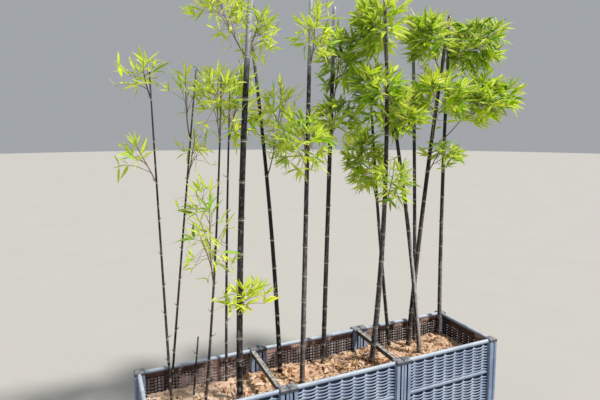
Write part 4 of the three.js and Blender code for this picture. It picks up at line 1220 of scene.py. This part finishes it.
# %% [markdown]
# ## How the crown grows
# Twenty-five masses of leaves grow on the canes, each in a space of its own. A stem leaves its
# cane just over a node and bends up through the middle of its mass, twigs leave it by the golden
# angle for the skin of the mass, and here each twig carries finer ones that end in sprays. Leaves
# scattered in a ball would be quicker, but they hang in the air and show no gaps where the real
# crown is open. A twig or leaf that would leave the space, enter a neighbour's, or touch a cane
# is left out.

# %% The masses and their stems
STEM_RISE, NODE_CLEAR, STEM_PARTS, STEM_RADIUS = 0.9, 6, 4, 3.4
LEAST_BEND, PAST_CANE, TIP_UP = 24, 14, 0.42


def unit(vector):
    return vector / np.linalg.norm(vector)


class Mass:
    """A space for leaves beside a cane, and the stem that carries them, in mm."""
    def __init__(self, name, on, up, off, wide, tall, twigs, finer, young=0.0):
        self.name, self.wide, self.tall, self.twigs = f"leaves_{name}", wide, tall, twigs
        self.finer, self.young = finer, young
        cane = CANES[f"culm_{on}"]
        reach = math.hypot(*off)
        self.outward = np.array([off[0] / reach, off[1] / reach, 0.0])
        self.middle = cane.point(up) + self.outward * reach
        start = min(cane.nodes, key=lambda node: abs(node - (up - tall * STEM_RISE))) + NODE_CLEAR
        step = 2 * math.pi / cane.sides
        first = step / 2 - math.pi / 2
        angle = math.atan2(self.outward[1], self.outward[0])
        angle = first + step * math.floor((angle - first) / step + 0.5)
        facing = np.array([math.cos(angle), math.sin(angle), 0.0])
        thick = cane.radius(start)
        root = cane.point(start) + facing * (thick * math.cos(math.pi / cane.sides) + GAP)
        bend = root + self.outward * max(0.4 * reach, LEAST_BEND) + UP * tall * 0.5
        tip = self.middle + self.outward * max(0, thick + PAST_CANE - reach) + UP * tall * TIP_UP
        self.bends = (root, bend, tip)
        self.stem = [self.curve(i / STEM_PARTS) for i in range(STEM_PARTS + 1)]

    def curve(self, t):
        root, bend, tip = self.bends
        return root * (1 - t) ** 2 + bend * (2 * t * (1 - t)) + tip * t ** 2


# Name, cane, height of the middle on it, how far it is off the cane, half width, half height,
# twigs, how many finer twigs they carry, and how young the leaves are.
MASSES = [Mass(*row) for row in (
    ("01_top", "01", 1295, (-22, 17), 140, 120, 7, 0.26, 0.25),
    ("01_low", "01", 985, (-66, 5), 118, 120, 5, 0.2, 0.25),
    ("02_top", "02", 1240, (-24, 40), 125, 150, 6, 0.26, 0.2),
    ("02_low", "02", 1015, (14, -38), 112, 112, 5, 0.27, 0.2),
    ("04_top", "04", 1225, (-12, -12), 122, 170, 7, 0.42, 0.4),
    ("04_low", "04", 760, (-30, -20), 155, 250, 6, 0.36, 0.25),
    ("05_top", "05", 1190, (40, -17), 125, 210, 7, 0.5, 0.4),
    ("06_foot", "06", 440, (4, -39), 142, 98, 6, 0.28, 0.42),
    ("06_left", "06", 1520, (-110, 31), 148, 132, 7, 0.72, 0.3),
    ("06_right", "06", 1450, (48, 28), 108, 132, 5, 0.6, 0.15),
    ("07", "07", 1150, (90, -14), 130, 210, 6, 0.5, 0.2),
    ("08_low", "08", 1060, (-34, -38), 155, 165, 8, 0.85, 0.15),
    ("08_top", "08", 1490, (8, -24), 135, 140, 7, 0.65, 0.2),
    ("09_top", "09", 1415, (40, 8), 140, 185, 8, 1.05, 0.0),
    ("09_low", "09", 1140, (4, -39), 145, 130, 6, 1.0, -0.05),
    ("10_top", "10", 1520, (-24, -12), 160, 165, 8, 1.5, 0.15),
    ("10_middle", "10", 1240, (-64, -28), 155, 165, 8, 1.55, 0.05),
    ("10_low", "10", 845, (8, -49), 125, 125, 5, 0.95),
    ("11", "11", 965, (-50, 4), 128, 190, 6, 1.2),
    ("12", "12", 1150, (4, -76), 142, 150, 7, 1.55, 0.05),
    ("13_top", "13", 1540, (-110, 11), 160, 165, 8, 1.6, 0.1),
    ("13_middle", "13", 1262, (-66, -86), 175, 168, 8, 1.7, 0.1),
    ("13_low", "13", 985, (22, -58), 130, 85, 5, 1.1),
    # 15_top's young below zero pushes its leaves towards deep green: painted shade for the dark lower inside
    # of the crown.
    ("15_top", "15", 1528, (140, -48), 182, 190, 8, 1.7, -0.1),
    ("15_low", "15", 1245, (136, -130), 215, 155, 9, 1.7, 0.05))]
print("masses:", len(MASSES), "with", sum(mass.twigs for mass in MASSES), "twigs")

# %% What a twig has to stay clear of
CANE_PARTS, BOX_MARGIN = 8, 7
middles = np.array([mass.middle for mass in MASSES])
reaches = np.array([(mass.wide, mass.wide, mass.tall) for mass in MASSES])
box_low, box_high = np.array(cad_box[0]) / MM + BOX_MARGIN, np.array(cad_box[1]) / MM - BOX_MARGIN
limb_rows = []
for cane in CANES.values():
    for i in range(CANE_PARTS):
        low, top = cane.tall * i / CANE_PARTS, cane.tall * (i + 1) / CANE_PARTS
        limb_rows.append((-1, *cane.point(low), *cane.point(top), cane.radius(low)))
for number, mass in enumerate(MASSES):
    for a, b in zip(mass.stem, mass.stem[1:]):
        limb_rows.append((number, *a, *b, STEM_RADIUS))
limbs = np.array(limb_rows)
limb_owner, limb_radius = limbs[:, 0].astype(int), limbs[:, 7]
limb_a, limb_b = limbs[:, 1:4], limbs[:, 4:7]
print("limbs to stay clear of:", len(limbs))

# %% Whether a twig or leaf fits
CLEAR, SPACE_MARGIN = 2.5, 0.01


def distances(a, b, starts, ends):
    """The shortest distances between the straight piece from a to b and many others."""
    along, others, between = b - a, ends - starts, a - starts
    aa, bb = along @ along, np.einsum("ij,ij->i", others, others)
    ab, ac, bc = others @ along, between @ along, np.einsum("ij,ij->i", others, between)
    span = np.maximum(aa * bb - ab * ab, 1e-9)
    s = np.clip((ab * bc - ac * bb) / span, 0, 1)
    t = np.clip((ab * s + bc) / bb, 0, 1)
    s = np.clip((ab * t - ac) / aa, 0, 1)
    return np.linalg.norm(a + s[:, None] * along - starts - t[:, None] * others, axis=1)


def fits(number, a, b, half_width, margin=SPACE_MARGIN, reach=1.0):
    """True where a straight piece keeps to its mass's own space and clear of all limbs."""
    points = a + np.linspace(0, 1, 5)[:, None] * (b - a)
    depths = np.linalg.norm((points[:, None, :] - middles) / reaches, axis=2)
    own = depths[:, number].copy()
    depths[:, number] = np.inf
    if own.max() > reach or (depths.min(axis=1) <= own + margin).any():
        return False
    others = limb_owner != number
    away = distances(a, b, limb_a[others], limb_b[others])
    return bool((away > limb_radius[others] + half_width + CLEAR).all())


def in_box(tip):
    return bool((tip > box_low).all() and (tip < box_high).all())


print("the box leaves", BOX_MARGIN, "mm free on each side")

# %% Canes that show bare
# From these heights on, seen from the camera's place, in mm.
BARE_FROM = (("culm_13", 1360), ("culm_10", 960), ("culm_08", 1150))
SEEN_FROM, BARE_MARGIN = np.array([-926, -1779]), 3


def hides_cane(base, tip):
    """True where a leaf lies before a cane that shows bare through its leaves in the photograph."""
    for name, from_height in BARE_FROM:
        cane = CANES[name]
        for point in np.linspace(base, tip, 7):
            height = point[2] - cane.foot
            if from_height < height < cane.tall:
                axis = cane.point(height)[:2]
                toward, gap = unit(SEEN_FROM - axis), point[:2] - axis
                aside = abs(gap[0] * toward[1] - gap[1] * toward[0])
                if gap @ toward > 0 and aside < cane.radius(height) + BARE_MARGIN:
                    return True
    return False


print("canes kept bare:", len(BARE_FROM))

# %% [markdown]
# ## Leaves and sprays
# A leaf is lance-shaped, mostly 60 to 90 mm long in the thin masses and 70 to 106 mm in the dense
# or very young ones, folded a little along its midrib, and closed: an upper and a lower face in
# its own outline. A picture on a flat card would be lighter, but it has no edge and no curve.
# Five shapes differ in arch, twist and fold, and a sixth is a new leaf still rolled to a spear.
# A twig ends in a spray of two to six leaves, though in the thin masses about a quarter of the
# fine twigs stay bare. Four finishes run from deep green to the yellow-green of new leaves, and a
# fifth is dry. A spray takes one of them, with now and then a leaf a step lighter or darker.

# %% Leaf shapes and finishes
ROLLED_ROWS = ((0, 0.8), (0.2, 1.0), (0.6, 0.7), (1, 0.05))
leaf_shapes = shape_set("leaf_shape", [
    blade_mesh("flat_leaf", LEAF_ROWS, 0.25, 0.08, 0.25, 0.02, 0.155),
    blade_mesh("arched_leaf", LEAF_ROWS, 0.35, 0.28, -0.3, -0.05, 0.15),
    blade_mesh("hanging_leaf", LEAF_ROWS, 0.3, 0.5, 0.5, 0.06, 0.155),
    blade_mesh("twisted_leaf", LEAF_ROWS, 0.45, 0.15, 1.1, 0.1, 0.145),
    blade_mesh("lifted_leaf", LEAF_ROWS, 0.5, 0.12, -0.5, -0.08, 0.165, slope=0.1),
    blade_mesh("rolled_leaf", ROLLED_ROWS, 1.4, 0.1, 0.2, 0.02, 0.03, 0.01)])
OPEN_LEAVES, ROLLED = 5, 5


def leaf_finish(name, face, light, roughness=0.5):
    """The blade attribute holds the way across, the way along and whether it is the lower face."""
    finish = Finish(name)
    blade = finish.node("ShaderNodeSeparateXYZ", None, {0: finish.attribute("blade", "Vector")})
    midrib = 1 - blade.math("ABSOLUTE").between(0.02, 0.2)
    under = blade.of("Z").between(0.02, 0.3)
    veins = (blade * 34.0).math("SINE")
    colour = finish.mix(finish.attribute("hue") * 0.7 + finish.clouds(9, 2) * 0.3, face, light)
    colour = finish.mix(midrib * 0.45, colour, light)
    colour = finish.mix(under * 0.35, colour, srgb(172, 190, 122))
    colour = finish.mix(blade.of("Y").between(0.93, 1.0) * 0.8, colour, srgb(186, 158, 96))
    return finish.surface(
        Base_Color=colour, Roughness=roughness, Subsurface_Weight=0.72, Specular_IOR_Level=0.3,
        Subsurface_Radius=(0.9, 1.0, 0.2), Subsurface_Scale=0.004,
        Normal=finish.bump(veins * 0.4 + midrib, 0.0002, 0.5))


leaf_finishes = [
    leaf_finish("leaf_deep", srgb(50, 94, 14), srgb(82, 134, 20)),
    leaf_finish("leaf_green", srgb(104, 158, 18), srgb(142, 194, 28)),
    leaf_finish("leaf_fresh", srgb(160, 208, 16), srgb(192, 228, 36)),
    leaf_finish("leaf_new", srgb(206, 232, 34), srgb(226, 240, 78)),
    leaf_finish("leaf_dry", srgb(188, 156, 90), srgb(220, 196, 130), roughness=0.6)]
TONE_SHARES, NEW, DRY, DRY_SHARE = (0.14, 0.46, 0.84), 3, 4, 0.012

twig_skin = Finish("twig_skin")
twig_cloud = twig_skin.clouds(180, 4, (1, 1, 0.4))
bark = twig_skin.mix(twig_skin.attribute("tone"), srgb(104, 84, 62), srgb(176, 150, 116))
bark = twig_skin.mix(twig_cloud.between(0.4, 0.7) * 0.5, bark, srgb(84, 88, 46))
bark = twig_skin.mix(twig_skin.attribute("sheath") * 0.8, bark, srgb(206, 186, 140))
twig_bark = twig_skin.surface(Base_Color=bark, Roughness=twig_cloud * 0.2 + 0.45,
                              Normal=twig_skin.bump(twig_cloud, 0.0004, 0.5))

# %% How a leaf lies
def turn_of(direction, roll):
    """The turn that lays a leaf along a direction, its face up and rolled a little."""
    along = Vector(direction).normalized()
    across = Vector((0, 0, 1)).cross(along)
    if across.length < 0.05:
        across = Vector((0, 1, 0))
    across.normalize()
    axes = Matrix((along, across, along.cross(across))).transposed()
    return tuple((axes @ Matrix.Rotation(roll, 3, "X")).to_euler())


print("a leaf that points half down turns by", [round(math.degrees(a)) for a in turn_of((1, 0, -1), 0)])

# %% Sprays and fine twigs
# A thin mass, with few finer twigs, has short leaves in threes. The others have them in fives,
# and the dense or very young ones have the longest.
THIN, DENSE, YOUNG, VERY_YOUNG = 0.4, 1, 0.15, 0.4
LONG_LEAF, SHORT_LEAF, LONG_SLIM, SHORT_SLIM, WIDER = 90, 76, 0.92, 0.74, 0.42
LEAF_HALF_WIDTH, LEAF_MARGIN, LEAF_REACH = 4, -0.3, 1.08
FAN_OPEN, FAN_JITTER, FAN_ROLL, FAN_ROLL_YOUNG, TRIES = 2.3, 0.7, 1.6, 2.6, 3
# Shares of the leaves or twigs that a chance decides on.
LEFT_OUT, LIGHTER, DARKER, SPEARS, TWIG_SPRAYS = 0.88, 0.2, 0.2, 0.3, 0.72
SPEAR_LONG = 0.8


class Crown:
    """The twigs and leaves of one mass while it grows, in mm."""
    def __init__(self, number):
        self.number, self.mass = number, MASSES[number]
        self.very_young = self.mass.young > VERY_YOUNG
        large = self.mass.finer >= DENSE or self.very_young
        self.full = 3 if self.mass.finer < THIN and not large else 5
        self.wide, self.size = (LONG_SLIM, LONG_LEAF) if large else (SHORT_SLIM, SHORT_LEAF)
        self.lift = 0.04 + max(self.mass.young, 0)
        self.points, self.edges, self.radii, self.tones, self.sheaths, self.leaves = [], [], [], [], [], []

    def rod(self, points, thick, thin, tone, sheath=(0, 0)):
        first = len(self.points)
        last = len(points) - 1
        for i, point in enumerate(points):
            self.points.append(point)
            self.radii.append(thick + (thin - thick) * i / last)
            self.tones.append(tone)
            self.sheaths.append(sheath[0] + (sheath[1] - sheath[0]) * i / last)
            if i:
                self.edges.append((first + i - 1, first + i))

    def leaf(self, base, direction, size, chance, tone):
        """Adds a leaf and says so, or adds none where it doesn't fit."""
        tip = base + unit(direction) * size
        if not in_box(tip) or not fits(self.number, base, tip, LEAF_HALF_WIDTH, LEAF_MARGIN, LEAF_REACH):
            return False
        if hides_cane(base, tip) and chance() < LEFT_OUT:
            return False
        kind = int(OPEN_LEAVES * chance())
        width = self.wide + WIDER * chance()
        turn = turn_of(direction, (chance() - 0.5) * 2.0)
        self.leaves.append((base, turn, (size, size * width, size), kind, tone))
        return True

    def spray(self, at, look, count, chance):
        """A fan of leaves at the end of a twig, most of them level or hanging."""
        flat = unit(np.cross(look, UP) + 1e-6)
        steep = np.cross(flat, look)
        roll = (chance() - 0.5) * (FAN_ROLL_YOUNG if self.mass.young > YOUNG else FAN_ROLL)
        level = flat * math.cos(roll) + steep * math.sin(roll)
        over = steep * math.cos(roll) - flat * math.sin(roll)
        share = chance() + self.mass.young
        tone = sum(share > limit for limit in TONE_SHARES)
        for i in range(count):
            for attempt in range(TRIES):
                turn = (i / max(count - 1, 1) - 0.5) * FAN_OPEN + (chance() - 0.5) * FAN_JITTER
                lift = (chance() - 0.4) * 0.8
                length = self.size * (0.78 + 0.4 * chance()) * (1 - 0.14 * attempt)
                direction = (look * math.cos(turn) * math.cos(lift) + level * math.sin(turn) * math.cos(lift)
                             + over * math.sin(lift))
                direction = unit(direction + UP * self.lift)
                slip = (chance() < LIGHTER) - (chance() < DARKER)
                shade = DRY if chance() < DRY_SHARE else max(0, min(NEW, tone + slip))
                if self.leaf(at - look * 4 * chance(), direction, length, chance, shade):
                    break
        spear = at + look * self.size * SPEAR_LONG
        if chance() < SPEARS and in_box(spear) and fits(self.number, at, spear, 2):
            self.leaves.append((at, turn_of(look, 0), (self.size * SPEAR_LONG,) * 3, ROLLED, NEW))

    def fine_twig(self, at, look, length, chance):
        """A fine twig that ends in a spray, tried in a few directions."""
        for attempt in range(TRIES):
            bent = unit(look + np.array([chance() - 0.5, chance() - 0.5, chance() - 0.5]) * 0.5 * attempt)
            end = at + bent * length
            if fits(self.number, at, end, 1.2):
                middle = (at + end) / 2 + UP * length * 0.05
                self.rod([at, middle, end], 0.95, 0.7, chance(), (0.1, 0.9))
                if self.mass.finer > THIN or self.very_young or chance() < TWIG_SPRAYS:
                    self.spray(end, unit(end - middle), self.full - 1 + int(3 * chance()), chance)
                return


print("sprays ready")

# %% [markdown]
# The twigs of a mass come from the rule that the solids follow, with the same draws: the golden
# angle round the stem, and a lift that rises from twig to twig. The solids also keep their own
# leaves apart, which isn't asked here, so a twig can take another of its three tries. Tall masses
# get three low, hanging twigs more. Finer twigs then leave each twig, again by the golden angle.
# In all but the thinner masses they leave gaps where a noise is low, because a real crown is made
# of clumps.

# %% Growing a mass
TWIG_LENGTH, SHORTEST, TALL = 86, 0.15, 1.4
LOW_LIFTS = (-1.05, -0.8, -0.55)
GOLDEN_ANGLE = math.pi * (3 - math.sqrt(5))
ARCH, CLUMP, CLUMP_LIMIT, CLUMPED, CLUMP_AHEAD = 0.05, 58, -0.14, 0.6, 40


def stem_twigs(number):
    """The twigs on a mass's stem, each (start, end, the way it looks)."""
    mass = MASSES[number]
    first = math.atan2(mass.outward[1], mass.outward[0])
    hanging = LOW_LIFTS if mass.tall > TALL * mass.wide else ()
    for k in range(mass.twigs + len(hanging)):
        low = k - mass.twigs
        for attempt in range(TRIES):
            draw = seeded(4100 + number * 211 + k * 17 + attempt * 5)
            turn = k * GOLDEN_ANGLE + attempt * 1.3 + (draw() - 0.5) * 0.7
            lift = -0.6 + 1.5 * (k + 0.5) / mass.twigs + (draw() - 0.5) * 0.4
            if low >= 0:
                lift = hanging[low]
            share = 0.86 + 0.13 * draw()
            skin_point = np.array([math.cos(lift) * math.cos(first + turn) * mass.wide,
                                   math.cos(lift) * math.sin(first + turn) * mass.wide,
                                   math.sin(lift) * mass.tall])
            size = np.linalg.norm(skin_point)
            length = min(TWIG_LENGTH * (0.85 + 0.25 * draw()), 0.8 * size)
            start = mass.curve(0.14 + 0.08 * low if low >= 0 else 0.25 + 0.7 * k / mass.twigs)
            end = mass.middle + skin_point * max(share - length / size, SHORTEST)
            if fits(number, start, end, 1.9):
                yield start, end, unit(skin_point)
                break


def grow(number):
    crown, mass = Crown(number), MASSES[number]
    stem = [mass.curve(i / 8) for i in range(9)]
    crown.rod(stem, 3.0, 1.6, 0.3)
    chance = seeded(900 + number * 37)
    crown.spray(stem[-1], unit(stem[-1] - stem[-2]), crown.full, chance)
    for start, end, look in stem_twigs(number):
        span = np.linalg.norm(end - start)
        arch = UP * span * ARCH
        path = [start, start * 0.67 + end * 0.33 + arch, start * 0.33 + end * 0.67 + arch, end]
        crown.rod(path, 1.6, 0.9, 0.5 * chance(), (0, 0.6))
        crown.spray(end, look, crown.full, chance)
        side = unit(np.cross(look, UP) + 1e-6)
        over = np.cross(side, look)
        count = round((5 + span / 20) * mass.finer)
        for j in range(count):
            t = 0.12 + 0.86 * (j + 0.5) / count
            at = start + (end - start) * t + arch * 4 * t * (1 - t)
            roll = j * GOLDEN_ANGLE + chance()
            angle = 0.7 + 0.5 * chance()
            aim = look * math.cos(angle) + (side * math.cos(roll) + over * math.sin(roll)) * math.sin(angle)
            ahead = noise.noise(Vector(at + aim * CLUMP_AHEAD) / CLUMP)
            if mass.finer > CLUMPED and ahead < CLUMP_LIMIT:
                continue
            length = TWIG_LENGTH * (0.4 + (0.75 - 0.3 * mass.finer) * chance())
            crown.fine_twig(at, unit(aim), length, chance)
    return crown


print("growth ready")

# %% Grow all masses
leaf_count = 0
for number, mass in enumerate(MASSES):
    crown = grow(number)
    leaf_count += len(crown.leaves)
    mesh = plain_mesh("twigs", np.array(crown.points) * MM, edges=crown.edges,
                      radius=np.array(crown.radii) * MM, tone=np.array(crown.tones, dtype=float),
                      sheath=np.array(crown.sheaths, dtype=float))
    label = mass.name[7:]
    keep(rod_tree.run(f"twigs_{label}", mesh, Corners=6, Material=twig_bark), [mass.name])
    keep(strew(f"spray_{label}", crown.leaves, leaf_shapes, leaf_finishes), [mass.name])
print("leaves:", leaf_count, "in", len(MASSES), "masses")

# %% [markdown]
# ## Floor and light
# A plain pale floor and an even sky light the plant softly, with one broad sun from the front
# right, high up, which is where the canes' shadows on the soil say that it stands.

# %% Floor, sun and sky
FLOOR_RADIUS, FLOOR_DROP = 30, 0.0005
SUN_FROM, SUN_STRENGTH, SUN_WIDE, SKY_STRENGTH = (0.5, -0.6, 1.1), 4.3, 0.12, 0.4
floor_finish = Finish("floor")
floor_colour = floor_finish.mix(floor_finish.clouds(2, 2), srgb(176, 174, 170), srgb(182, 180, 176))
bpy.ops.mesh.primitive_circle_add(
    vertices=96, radius=FLOOR_RADIUS, fill_type="NGON", location=(0, 0, -FLOOR_DROP))
floor = bpy.context.object
floor.name = "floor"
floor.data.materials.append(floor_finish.surface(Base_Color=floor_colour, Roughness=0.9))

sun_data = bpy.data.lights.new("sun", "SUN")
sun_data.energy = SUN_STRENGTH
sun_data.angle = SUN_WIDE
sun_data.color = (1.0, 0.965, 0.9)
sun = bpy.data.objects.new("sun", sun_data)
sun.rotation_euler = Vector(SUN_FROM).to_track_quat("Z", "Y").to_euler()
bpy.context.scene.collection.objects.link(sun)

world = bpy.data.worlds.new("sky")
world.use_nodes = True
sky = world.node_tree.nodes["Background"]
sky.inputs["Color"].default_value = (0.90, 0.95, 1.0, 1)
sky.inputs["Strength"].default_value = SKY_STRENGTH
bpy.context.scene.world = world
bpy.context.scene.view_settings.view_transform = "Standard"
sun_x, sun_y, sun_z = SUN_FROM
print("sun:", round(math.degrees(math.atan2(sun_z, math.hypot(sun_x, sun_y)))), "degrees over the floor")
